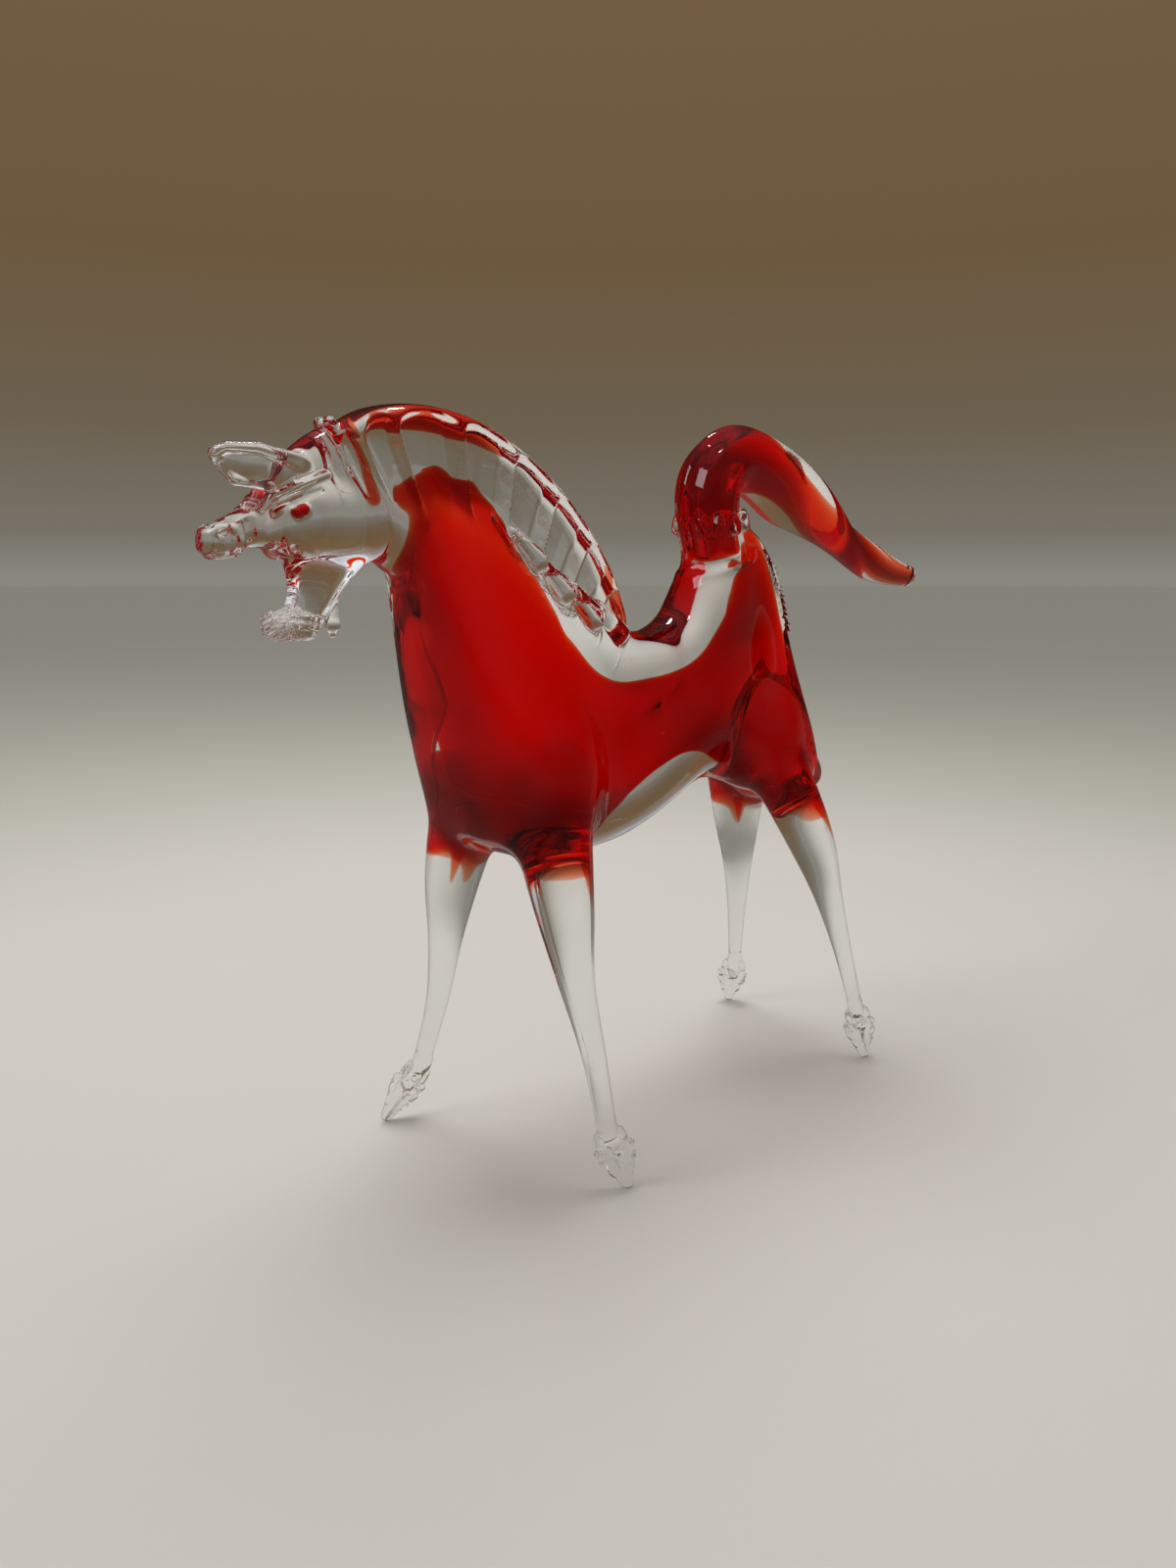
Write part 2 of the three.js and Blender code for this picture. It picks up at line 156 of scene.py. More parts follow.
# %% [markdown]
# ## Blocks of points
# A field is only a rule, so it has to be read at points before it can become a mesh. A block holds points
# on three axes and the gap at each. A form changes only the part of the block that it reaches, which
# keeps small marks quick, and reading the gap between the points gives the surface's place and direction.

# %% Blocks
FAR = 60.0
MARGIN_STEPS = 3
LEAST_SLOPE = 1e-6


class Block:
    """A block of points on three axes, with the gap to the glass at each of them."""

    def __init__(self, axes):
        self.axes = [np.asarray(axis, np.float32) for axis in axes]
        self.step = float(self.axes[0][1] - self.axes[0][0])
        self.gap = np.full([len(axis) for axis in self.axes], FAR, np.float32)

    def room(self, form, margin):
        """The part of the block that a form reaches, or None."""
        spans = []
        for axis, low, high in zip(self.axes, form.low, form.high):
            start, stop = np.searchsorted(axis, (low - margin, high + margin))
            spans.append(slice(max(start - 1, 0), stop + 1))
        inside = [axis[span] for axis, span in zip(self.axes, spans)]
        return (tuple(spans), inside) if all(len(axis) > 2 for axis in inside) else None

    def add(self, form, radius, sign=1):
        """Melts a form on."""
        room = self.room(form, radius + MARGIN_STEPS * self.step)
        if room:
            spans, axes = room
            self.gap[spans] = sign * melt(sign * self.gap[spans], form.gap(*axes), radius)

    def cut(self, form, radius):
        """Presses a form into the glass, which is melting it onto the air."""
        self.add(form, radius, -1)

    def read(self, points):
        """The gap at any points, between the points of the block."""
        places = [(points[:, i] - axis[0]) / self.step for i, axis in enumerate(self.axes)]
        cells = [np.clip(place.astype(int), 0, len(axis) - 2) for place, axis in zip(places, self.axes)]
        shares = [place - cell for place, cell in zip(places, cells)]
        total = np.zeros(len(points))
        for corner in np.ndindex(2, 2, 2):
            weight = np.ones(len(points))
            for share, side in zip(shares, corner):
                weight = weight * (share if side else 1 - share)
            total += weight * self.gap[tuple(cell + side for cell, side in zip(cells, corner))]
        return total

    def slope(self, points):
        """The direction straight out of the glass, and the gap's steepness, at any points."""
        columns = []
        for axis in np.eye(3) * self.step:
            columns.append((self.read(points + axis) - self.read(points - axis)) / (2 * self.step))
        out = np.stack(columns, axis=1)
        steep = np.maximum(np.linalg.norm(out, axis=1, keepdims=True), LEAST_SLOPE)
        return out / steep, steep[:, 0]


print("an empty block is", FAR, "mm from any glass")

# %% [markdown]
# ## Curves that flow
# A form that is drawn out of hot glass has no corners in its outline, so the few sizes measured along it
# are read as one smooth curve. Splines of Blender's own would do as well, but a field needs the size at
# thousands of places at once, which is quick with arrays.

# %% Flowing curves
FINE = 0.1
SOFTEN = 1.2
BELL_REACH = 3


class Flow:
    """Rows of sizes, given at places along a form, read as smooth curves."""

    def __init__(self, places, rows, fine=FINE, soften=SOFTEN):
        places = np.asarray(places, float)
        rows = np.asarray(rows, float)
        self.places = np.arange(places[0], places[-1] + fine, fine)
        slopes = np.gradient(rows, places, axis=0)
        span = np.clip(np.searchsorted(places, self.places) - 1, 0, len(places) - 2)
        width = places[span + 1] - places[span]
        t = ((np.minimum(self.places, places[-1]) - places[span]) / width)[:, None]
        width = width[:, None]
        curve = rows[span] * (1 + 2 * t) * (1 - t) ** 2 + rows[span + 1] * t * t * (3 - 2 * t)
        curve += width * (slopes[span] * t * (1 - t) ** 2 - slopes[span + 1] * t * t * (1 - t))
        reach = int(BELL_REACH * soften / fine)
        bell = np.exp(-0.5 * (np.arange(-reach, reach + 1) * fine / soften) ** 2)
        bell /= bell.sum()
        padded = np.pad(curve, ((reach, reach), (0, 0)), mode="edge")
        self.curves = [np.convolve(column, bell, "valid") for column in padded.T]

    def __call__(self, at):
        return [np.interp(at, self.places, curve) for curve in self.curves]


print("curves are softened over", SOFTEN, "mm")

# %% [markdown]
# ## Body and neck
# The body is one gather, wide low down and narrow along the crest of the neck and the croup, so each
# slice across it is a pear. Clear glass is only seen through where its two walls run alongside each
# other, so the saddle is pinched to a slab with upright sides. A stack of slices says all of it: where
# the underside and the topline run, and how wide the glass is low down and high up.

# %% Smooth shares


def smooth_share(share):
    """A share from 0 to 1 that starts and ends level."""
    share = np.clip(share, 0, 1)
    return share * share * (3 - 2 * share)


print("a quarter of the way, smoothed:", smooth_share(0.25))

# %% Pear slices
# Rows of place, powers of the upper and lower half, and the share of the height where walls are upright.
ROUND = [(0, 2, 2, 1)]


def pears(rows, front_cap, back_cap, slices=ROUND):
    """A mass of pear-shaped slices across the horse, closed by rounded caps.

    A power of 2 makes half of a slice round, and a higher one makes it square.
    """
    rows = np.asarray(rows, float)
    places, *looks = np.asarray(slices, float).T
    sizes = Flow(rows[:, 0], rows[:, 1:])
    first, last = rows[0, 0], rows[-1, 0]
    wide = rows[:, 3:].max()

    def section(x, z):
        """A slice's half-width at a height, and how near that height is to its top or bottom."""
        under, top, low, high = sizes(x)
        climb = (z - under) / (top - under)
        upper, lower, upright = (np.interp(x, places, look) for look in looks)
        width = low + (high - low) * smooth_share(climb / upright)
        return width, np.abs(2 * climb - 1) ** np.where(climb > 0.5, upper, lower)

    def gap(*axes):
        x, y, z = np.ix_(*axes)
        width, rise = section(x, z)
        past = np.maximum(first - x, 0) / front_cap + np.maximum(x - last, 0) / back_cap
        level = np.sqrt((y / width) ** 2 + rise + past**2) - 1
        return settle(level.astype(np.float32), axes)

    def side(x, z):
        """Half the width at a place and height."""
        width, rise = section(x, z)
        return float(width * np.sqrt(np.maximum(1 - rise, 0)))

    low_corner = (first - front_cap, -wide, rows[:, 1].min())
    high_corner = (last + back_cap, wide, rows[:, 2].max())
    form = Form(low_corner, high_corner, gap)
    form.side = side
    return form


print("powers of a round slice:", ROUND[0][1:3])

# %% Body and neck
# Rows of place, underside, topline, half-width low down and half-width high up.
BODY = [
    (-58, 97, 108, 4, 4),
    (-54.5, 85, 109, 7.5, 6),
    (-51, 68, 109, 11, 7),
    (-47, 57, 108.5, 14, 8),
    (-42, 52.5, 106.5, 14.8, 8.2),
    (-36, 50.5, 101, 14.4, 8),
    (-26, 49.5, 92, 13, 7),
    (-14, 50.5, 86.4, 11.6, 5.8),
    (-4, 54, 86.4, 10.6, 6.2),
    (3, 57, 91, 10, 6.6),
    (8, 58, 100, 9.8, 7),
    (14, 57, 105, 9.6, 6),
    (22, 54, 104, 9.6, 3.8),
    (28, 52, 98, 10.6, 4),
    (32, 51, 85, 11.4, 5),
    (35.5, 51, 71, 9.6, 5.6),
    (38, 52, 62, 8, 5),
]
SADDLE_SLICES = [
    (-32, 2, 2.8, 1),
    (-20, 7, 2.2, 0.74),
    (0, 7, 2, 0.7),
    (8, 3.4, 2, 0.56),
    (22, 2.6, 2, 0.6),
    (34, 2, 2, 1),
]
THROAT_CAP = 2.0
RUMP_CAP = 2.2

body = pears(BODY, THROAT_CAP, RUMP_CAP, SADDLE_SLICES)
print("body from", body.low, "to", body.high)

# %% [markdown]
# ## Legs
# Each leg is a hot rod pulled down from the body, so it is widest at the top and thins to the fetlock. A
# bevelled curve would give round sections only. Level ovals at five heights follow the pull, and each leg
# has its own stance.

# %% Level ovals


def column(rows, low_cap, high_cap, power=2):
    """A mass of level ovals, from rows of height, place along, place across, half-width across and along.

    A power above 2 makes the ovals' sides run straight along the horse.
    """
    rows = np.asarray(rows, float)
    sizes = Flow(rows[:, 0], rows[:, 1:])
    first, last = rows[0, 0], rows[-1, 0]
    reach = rows[:, 3:].max(axis=1)[:, None]

    def gap(*axes):
        x, y, z = np.ix_(*axes)
        along, across, wide, deep = sizes(z)
        past = np.maximum(first - z, 0) / low_cap + np.maximum(z - last, 0) / high_cap
        level = np.sqrt(np.abs((x - along) / deep) ** power + ((y - across) / wide) ** 2 + past**2) - 1
        return settle(level.astype(np.float32), axes)

    low_corner = (*(rows[:, 1:3] - reach).min(axis=0), first - low_cap)
    high_corner = (*(rows[:, 1:3] + reach).max(axis=0), last + high_cap)
    return Form(low_corner, high_corner, gap)


small_column = column([(0, 0, 0, 1, 1), (4, 0, 0, 2, 2)], 1.0, 1.0)
print("a small column reaches from", small_column.low, "to", small_column.high)

# %% Legs
LEG_HEIGHTS = (10, 22, 34, 44, 64)
# Half-widths across and along the horse at those heights.
FRONT_OVALS = ((1.5, 1.6), (1.9, 2), (2.9, 3.1), (4.4, 4.8), (6.8, 7.5))
HIND_OVALS = ((1.3, 1.4), (1.8, 1.9), (2.8, 3.2), (4.4, 5), (6.4, 7.5))
# Places of the toe and then of the leg's middle at those heights.
STANCES = {
    "front_left": ((-33.2, -23), (-35.7, -21), (-36.6, -18.8), (-37.8, -16), (-37.8, -13.6), (-35, -6)),
    "front_right": ((-47.4, 22.6), (-41.8, 19.8), (-40, 17), (-39.5, 14.8), (-39.3, 12.8), (-38.5, 6)),
    "hind_left": ((38, -20), (37.3, -17.9), (35.6, -15.3), (32.2, -13.5), (28, -12.5), (22, -5)),
    "hind_right": ((43.3, 19.7), (42.9, 17.8), (40, 15.3), (37.3, 13.1), (35.2, 11.8), (26, 5)),
}
FETLOCK_CAP = 1.5
LEG_CAP = 10.0


def leg_rows(name):
    """The rows of one leg, from the fetlock up."""
    ovals = FRONT_OVALS if name.startswith("front") else HIND_OVALS
    return [(z, *at, *oval) for z, at, oval in zip(LEG_HEIGHTS, STANCES[name][1:], ovals)]


legs = {name: column(leg_rows(name), FETLOCK_CAP, LEG_CAP) for name in STANCES}
print("legs:", ", ".join(legs))

# %% [markdown]
# ## Beads
# The small marks of the tweezers are all beads: round or flattened drops, straight or tapered. Spheres
# could be added as meshes, but they would not melt in. One rule for a tapered bead serves for ears, lips,
# chin, hooves and lobes of the mane.

# %% Beads
SHORTEST = 1e-9


def bead(start, end, start_radius, end_radius, flat=None, share=1.0):
    """A drop drawn from one point to another.

    It is pressed to a share of its thickness along the flat direction.
    """
    start = np.asarray(start, float)
    run = np.asarray(end, float) - start
    length = max(float(run @ run), SHORTEST)
    press = np.zeros(3) if flat is None else np.asarray(flat, float) / np.linalg.norm(flat)

    def gap(*axes):
        x, y, z = np.ix_(*axes)
        offset = [x - start[0], y - start[1], z - start[2]]
        along = sum(o * r for o, r in zip(offset, run)) / length
        along = np.clip(along, 0, 1)
        offset = [o - along * r for o, r in zip(offset, run)]
        squeeze = sum(o * p for o, p in zip(offset, press))
        distance = np.sqrt(sum(o * o for o in offset) + squeeze**2 * (1 / share**2 - 1))
        level = distance - (start_radius + (end_radius - start_radius) * along)
        return level.astype(np.float32) if flat is None else settle(level.astype(np.float32), axes)

    reach = max(start_radius, end_radius)
    return Form(np.minimum(start, start + run) - reach, np.maximum(start, start + run) + reach, gap)


small_bead = bead((0, 0, 0), (2, 0, 0), 1.0, 0.5)
print("a bead of 2 mm reaches from", small_bead.low, "to", small_bead.high)

# %% Strands of beads


def together(forms, radius):
    """Several forms melted into one."""

    def gap(*axes):
        block = Block(axes)
        for form in forms:
            block.add(form, radius)
        return block.gap

    low = np.min([form.low for form in forms], axis=0)
    high = np.max([form.high for form in forms], axis=0)
    return Form(low, high, gap)


def strand(knots, radius, **pressed):
    """A chain of drops through knots of place and thickness, melted over a radius."""
    drops = []
    for (*start, start_radius), (*end, end_radius) in zip(knots, knots[1:]):
        drops.append(bead(start, end, start_radius, end_radius, **pressed))
    return together(drops, radius)


small_strand = strand([(0, 0, 0, 1.0), (2, 0, 0, 0.5), (4, 0, 0, 0.5)], 0.2)
print("a strand of two drops reaches to", small_strand.high)

# %% [markdown]
# ## Marks of the tools
# Three things happen to a bead. The maker repeats it on the horse's other side, bites it with toothed
# tweezers or presses a dent into it. In a mesh, each would be a modifier. In a field they are changes to
# the gap, so the result still melts with everything else.

# %% Mirrored forms


def mirrored(form):
    """The same form on the other side of the horse."""

    def gap(x, y, z):
        return form.gap(x, -y[::-1], z)[:, ::-1]

    flip = np.array([1, -1, 1])
    low, high = form.low * flip, form.high * flip
    return Form(np.minimum(low, high), np.maximum(low, high), gap)


def both(forms):
    """Each form with its mirror image."""
    return [side for form in forms for side in (form, mirrored(form))]


print("mirror image of that bead ends at", mirrored(small_bead).high)

# %% Crimped and pressed forms


def crimped(form, waves, depth):
    """A form bitten by teeth: waves are pairs of direction and pitch, and cells come from two of them."""

    def gap(*axes):
        x, y, z = np.ix_(*axes)
        teeth = 1.0
        for direction, pitch in waves:
            run = np.asarray(direction, float) / np.linalg.norm(direction) * 2 * math.pi / pitch
            teeth = teeth * np.sin(x * run[0] + y * run[1] + z * run[2])
        return (form.gap(*axes) - depth * teeth).astype(np.float32)

    return Form(form.low - depth, form.high + depth, gap)


def pressed(form, dents, radius):
    """A form with dents pressed into it."""

    def gap(*axes):
        block = Block(axes)
        block.gap = form.gap(*axes)
        for dent in dents:
            block.cut(dent, radius)
        return block.gap

    return Form(form.low, form.high, gap)


small_bite = crimped(small_bead, [((1, 0, 0), 1.0)], 0.3)
print("bitten 0.3 mm deep, that bead ends at", small_bite.high)

# %% [markdown]
# ## Skull and jaw
# The head is a clear bit drawn forward off the neck. The skull narrows to a pinched nose, and the lower
# jaw is pulled down so that the mouth stands open. A round head would act as a lens and fill with red
# from the neck behind it, so the cheeks and the jaw are pressed flat, and the eye passes straight through
# them.

# %% Skull and jaw
# Rows of place, underside, topline, half-width low down and half-width high up.
SKULL = [
    (-86.4, 97.9, 100.9, 2.4, 2.2),
    (-84.4, 97.5, 102.2, 3, 2.8),
    (-81.5, 98.7, 103.8, 3.2, 3),
    (-78.5, 98.6, 107, 3.7, 2.6),
    (-75, 98.2, 111, 4.3, 2.7),
    (-71, 97.8, 114, 4.9, 2.9),
    (-67, 97.4, 115.6, 5.4, 3.2),
    (-62, 97.6, 115.4, 5.6, 4),
    (-56, 98.5, 111, 4.5, 4.2),
]
SKULL_SLICES = [(0, 4, 4, 1)]
NOSE_CAP = 1.0
NAPE_CAP = 2.0
# Rows of height, place along, place across, half-width across and half-width along.
JAW = [
    (87.2, -74.4, 0, 1.8, 2.4),
    (89, -73.6, 0, 2.1, 3),
    (91, -72.2, 0, 2.2, 3.2),
    (93.5, -71, 0, 2.5, 3.8),
    (97.5, -69.4, 0, 3.2, 6),
    (104, -68.4, 0, 4, 6),
]
JAW_POWER = 5
CHIN_CAP = 0.8
JAW_ROOT_CAP = 3.0

skull = pears(SKULL, NOSE_CAP, NAPE_CAP, SKULL_SLICES)
jaw = column(JAW, CHIN_CAP, JAW_ROOT_CAP, JAW_POWER)
print("head from", skull.low, "to", skull.high)

# %% [markdown]
# ## Face
# The face is made of marks on the skull: a brow with a groove under it, a cheek disc, the corner of the
# mouth, nostrils and a lip, and toothed tweezers leave fine cells on the nose. Sculpting them would need
# a dense mesh. Ridges are melted on over a short radius and dents are pressed in, which keeps them crisp.

# %% Brow
# Rows of place, height, how proud of the cheek, and thickness.
BROW = [(-80.4, 103.4, 0, 0.45), (-78.6, 105.0, 0.2, 0.7), (-75.4, 106.5, 0.3, 0.75), (-70.8, 108.3, 0, 0.4)]
BROW_MELT = 0.2
UNDER_BROW = [(-79.4, 103.2, 0.4, 0.3), (-76.0, 104.6, 0.5, 0.7), (-72.0, 106.2, 0.4, 0.3)]
UNDER_BROW_MELT = 0.3


def on_skull(x, z, proud=0.0):
    """A point on the left cheek, or a little proud of it."""
    return (x, -skull.side(x, z) - proud, z)


def cheek_strand(rows, radius):
    """A chain of drops on the left cheek."""
    return strand([(*on_skull(*spot), thickness) for *spot, thickness in rows], radius)


brow = cheek_strand(BROW, BROW_MELT)
under_brow = cheek_strand(UNDER_BROW, UNDER_BROW_MELT)
print("brow from", brow.low.round(1), "to", brow.high.round(1))

# %% Eye, cheek and mouth
ACROSS = (0, 1, 0)
EYE_FRONT = (-75.5, 103.1)
EYE_BACK = (-74.5, 103.6)
EYE_HALVES = (0.46, 0.5)
EYE_SUNK = 0.1
EYE_BED = 0.9
CHEEK = (-74.8, 99.9)
CHEEK_HALF = 2.7
CHEEK_SHARE = 0.25
CHEEK_SUNK = 0.2
MOUTH_CORNER = (-75.8, 98.7)
MOUTH_HALF = 0.9
MOUTH_HOLE = 0.55
MOUTH_HOLE_OUT = 0.5
DOT_RUN = 0.1


def cheek_dot(spot, proud, radius, **flattened):
    """A round mark at a spot of the cheek."""
    end = on_skull(spot[0] + DOT_RUN, spot[1], proud)
    return bead(on_skull(*spot, proud), end, radius, radius, **flattened)


eye_bed = bead(on_skull(*EYE_FRONT), on_skull(*EYE_BACK), EYE_BED, EYE_BED)
eye = bead(on_skull(*EYE_FRONT, -EYE_SUNK), on_skull(*EYE_BACK, -EYE_SUNK), *EYE_HALVES)
cheek = cheek_dot(CHEEK, -CHEEK_SUNK, CHEEK_HALF, flat=ACROSS, share=CHEEK_SHARE)
mouth_corner = cheek_dot(MOUTH_CORNER, 0.0, MOUTH_HALF)
mouth_hole = cheek_dot(MOUTH_CORNER, MOUTH_HOLE_OUT, MOUTH_HOLE)
print("eye from", eye.low.round(1), "to", eye.high.round(1))

# %% Nose and lip
# Start and end of each mark and its two thicknesses.
NOSTRIL = ((-85.6, -2.4, 100.4), (-84.8, -2.7, 100.7), 0.5, 0.4)
NOSE_SIDE = ((-85.6, -1.9, 100.6), (-84.4, -2.5, 100.9), 1.0, 0.8)
LIP = ((-85.6, -1.2, 98.0), (-83.6, -2.2, 98.2), 0.9, 0.7)
NOSE_PINCH = ((-82.4, -4.0, 101.6), (-82.0, -4.2, 98.6), 1.5, 1.4)
NOSE = ((-85.4, 0, 99.3), (-83.8, 0, 99.7), 1.9, 2.2)
NOSE_SPREAD = 1.2
# Directions of the tweezers' teeth, how far apart they bite and how deep.
NOSE_TEETH = ((1, 0.3, 1), (-1, 0.3, 1))
CELL = 1.6
CELL_DEPTH = 0.34

nostril = bead(*NOSTRIL)
nose_side = bead(*NOSE_SIDE)
lip = bead(*LIP)
nose_pinch = bead(*NOSE_PINCH)
nose_bead = bead(*NOSE, flat=ACROSS, share=NOSE_SPREAD)
nose = crimped(nose_bead, [(way, CELL) for way in NOSE_TEETH], CELL_DEPTH)
print("nose from", nose.low.round(1), "to", nose.high.round(1))

# %% Marks of the whole face
POLL_TOP = (-68.7, -1.2, 115.3, 0.9)
POLL_SUNK = 0.1
# Rows of place, height and thickness.
POLL_RUN = [(-67.2, 109, 0.4), (-65, 104.5, 0.25)]
POLL_MELT = 0.2

poll_knots = [(*on_skull(x, z, -POLL_SUNK), thickness) for x, z, thickness in POLL_RUN]
poll = strand([POLL_TOP, *poll_knots], POLL_MELT)
face_ridges = both([brow, eye_bed, cheek, mouth_corner, nose_side, lip])
face_dents = both([under_brow, nostril, mouth_hole, nose_pinch])
poll_ridges = both([poll])
print("marks on the face:", len(face_ridges) + len(face_dents) + len(poll_ridges))

# %% [markdown]
# ## Chin
# The tweezers that pull the jaw down leave a lump of fine cells at its tip, and a drop runs down behind
# it. A bump in the material could draw the cells, but their outline would stay smooth, so they are in the
# shape.

# %% Chin
# Start and end of the lump and its two thicknesses.
CHIN = ((-77.2, 0, 88.6), (-72.4, 0, 89.3), 1.9, 1.7)
CHIN_SPREAD = 1.35
CHIN_TEETH = ((1, 0.4, 0.8), (-0.8, 0.4, 1))
# Knots of place and thickness.
CHIN_DROP = [(-68.8, -1.2, 91.6, 0.5), (-69.5, -1.4, 88.5, 1.0), (-69.5, -1.4, 87.2, 0.5)]
DROP_MELT = 0.3

chin_bead = bead(*CHIN, flat=ACROSS, share=CHIN_SPREAD)
chin = crimped(chin_bead, [(way, CELL) for way in CHIN_TEETH], CELL_DEPTH)
chin_drop = strand(CHIN_DROP, DROP_MELT)
print("chin from", chin.low.round(1), "to", chin.high.round(1))

# %% [markdown]
# ## Ears
# Each ear is a bit of clear glass pinched to a paddle that points forward over the brow. It is thin in
# the middle and thick along the rim, with a beaded lower edge. A solidified sheet would have one
# thickness, so a flattened strand makes the web and two more strands make the rim.

# %% Ears
# The right ear stands back from the left one by this much.
EAR_APART = np.array([2.4, 5.0, 0.5])
# Knots of place and thickness.
EAR_TOP = [
    (-74.5, -2.6, 109.6, 1.2),
    (-80, -2.6, 110.9, 0.85),
    (-84.4, -2.6, 110.8, 0.75),
    (-86, -2.6, 110.1, 0.8),
]
EAR_LOW = [
    (-86, -2.7, 109.8, 0.7),
    (-85, -2.8, 108.0, 0.45),
    (-83.6, -2.9, 106.9, 0.65),
    (-81.6, -3.0, 106.5, 0.45),
    (-79, -3.0, 106.4, 0.7),
]
EAR_WEB = [(-75, -2.8, 108.6, 2.2), (-80.5, -2.8, 108.7, 2.2), (-84.2, -2.8, 109.1, 1.5)]
WEB_SHARE = 0.34
WEB_MELT = 0.3
RIM_MELT = 0.2
EAR_MELT = 0.4


def moved(knots, shift):
    """Knots of a strand, moved by a shift."""
    return [(*(np.array(knot[:3]) + shift), knot[3]) for knot in knots]


def ear(shift):
    """A paddle of thin glass with a thick rim, beaded along its lower edge."""
    web = strand(moved(EAR_WEB, shift), WEB_MELT, flat=ACROSS, share=WEB_SHARE)
    rims = [strand(moved(knots, shift), RIM_MELT) for knots in (EAR_TOP, EAR_LOW)]
    return together([web, *rims], EAR_MELT)


ears = [ear(np.zeros(3)), ear(EAR_APART)]
print("ears:", len(ears))

# %% [markdown]
# ## Mane
# A clear strip is laid along the crest of the neck and pressed between ribbed tongs, so its sides carry a
# row of flat, round-topped faces with sharp ridges between them, below a plain rounded rim. The strip is
# a fin of rulings from the neck to the crest. Each face is a dent in its thickness, quick at the front
# and slow at the back, which a bevelled mesh could only give face by face.

# %% Sizes of the mane
# Rows of the crest's place and height, the root's place and height, and the half-thickness.
MANE = [
    (-68.5, 114.6, -63, 104, 4.2),
    (-62, 118, -57, 103, 5.8),
    (-53, 119, -50, 102, 5.2),
    (-43, 117.3, -44, 100, 4.5),
    (-34, 113, -38.5, 96, 4.2),
    (-26, 107, -33, 90, 4.2),
    (-19, 99.5, -28, 85, 4.0),
    (-14, 91, -22, 80, 3.7),
    (-12.5, 84.5, -17, 78, 3),
]
ROW_FINE = 0.02
MANE_SOFTEN = 0.1
RULINGS = 240

mane_flow = Flow(range(len(MANE)), MANE, fine=ROW_FINE, soften=MANE_SOFTEN)
mane_rows = np.linspace(0, len(MANE) - 1, RULINGS)
crest_x, crest_z, root_x, root_z, mane_thick = (np.asarray(size) for size in mane_flow(mane_rows))
crest_length = np.hypot(np.diff(crest_x), np.diff(crest_z)).sum()
print("length of the crest in mm:", crest_length.round(1))

# %% Faces pressed by the tongs
# Ridges along the mane, counted in its rows.
RIDGES = np.array([-0.4, 0.3, 1.05, 2.4, 3.55, 4.6, 5.6, 6.5, 7.3, 8.4])
RIM = 1.3
RIM_DIP = 1.9
FACE_DEPTH = 1.4
FACE_EDGE = 1.8
QUICK = 0.07
SLOW = 0.26


def face_dent(row, climb, tall):
    """How deep the tongs press, by row along the mane and height on it."""
    panel = np.clip(np.searchsorted(RIDGES, row) - 1, 0, len(RIDGES) - 2)
    share = (row - RIDGES[panel]) / (RIDGES[panel + 1] - RIDGES[panel])
    window = smooth_share(share / QUICK) * np.clip((1 - share) / SLOW, 0, 1)
    face_top = tall - RIM - RIM_DIP * (2 * share - 1) ** 2
    return FACE_DEPTH * window * smooth_share((face_top - climb) / FACE_EDGE + 0.5)


print("faces on each side of the mane:", len(RIDGES) - 1)

# %% Mane
CREST_CAP = 2.0
END_CAP = 1.6
ROOT_CAP = 2.0
FAR_SIDE = 0.15
LEAST_PACE = 0.02


def mane_fin():
    """The pressed strip, as a field."""
    length = np.hypot(crest_x - root_x, crest_z - root_z)
    up_x, up_z = (crest_x - root_x) / length, (crest_z - root_z) / length
    columns = (root_x, root_z, up_x, up_z, length, mane_thick, mane_rows)

    def beside(x, z, i):
        """How far a point lies to the rear of a ruling."""
        return (x - root_x[i]) * up_z[i] - (z - root_z[i]) * up_x[i]

    def nearest(x, z):
        """The ruling that each point of the middle plane is nearest to."""
        best = np.full(np.broadcast_shapes(x.shape, z.shape), np.inf)
        pick = np.zeros(best.shape, int)
        for i in range(RULINGS):
            climb = np.clip((x - root_x[i]) * up_x[i] + (z - root_z[i]) * up_z[i], 0, length[i])
            away = (x - root_x[i] - climb * up_x[i]) ** 2 + (z - root_z[i] - climb * up_z[i]) ** 2
            pick[away < best] = i
            best = np.minimum(best, away)
        return pick

    def gap(*axes):
        x, y, z = np.ix_(*axes)
        flat_x, flat_z = x[:, 0, :], z[:, 0, :]
        pick = nearest(flat_x, flat_z)
        before, after = np.maximum(pick - 1, 0), np.minimum(pick + 1, RULINGS - 1)
        turn = beside(flat_x, flat_z, before) - beside(flat_x, flat_z, after)
        pace = np.maximum(turn / (after - before), LEAST_PACE)
        spot = pick + beside(flat_x, flat_z, pick) / pace
        past = (np.maximum(-spot, 0) + np.maximum(spot - (RULINGS - 1), 0)) * pace
        spot = np.clip(spot, 0, RULINGS - 1)
        at = [np.interp(spot, np.arange(RULINGS), column) for column in columns]
        foot_x, foot_z, rise_x, rise_z, tall, half, row = at
        climb = (flat_x - foot_x) * rise_x + (flat_z - foot_z) * rise_z
        dent = face_dent(row, climb, tall)
        half = half[:, None, :] - dent[:, None, :] * np.where(y < 0, 1, FAR_SIDE)
        over = np.maximum(climb - (tall - CREST_CAP), 0) / CREST_CAP + np.maximum(-climb, 0) / ROOT_CAP
        level = np.sqrt((y / half) ** 2 + over[:, None, :] ** 2 + (past / END_CAP)[:, None, :] ** 2) - 1
        return settle(level.astype(np.float32), axes)

    low = (min(crest_x.min(), root_x.min()), -mane_thick.max(), root_z.min())
    high = (max(crest_x.max(), root_x.max()), mane_thick.max(), crest_z.max())
    return Form(np.array(low) - END_CAP, np.array(high) + END_CAP, gap)


mane = mane_fin()
print("mane from", mane.low.round(1), "to", mane.high.round(1))

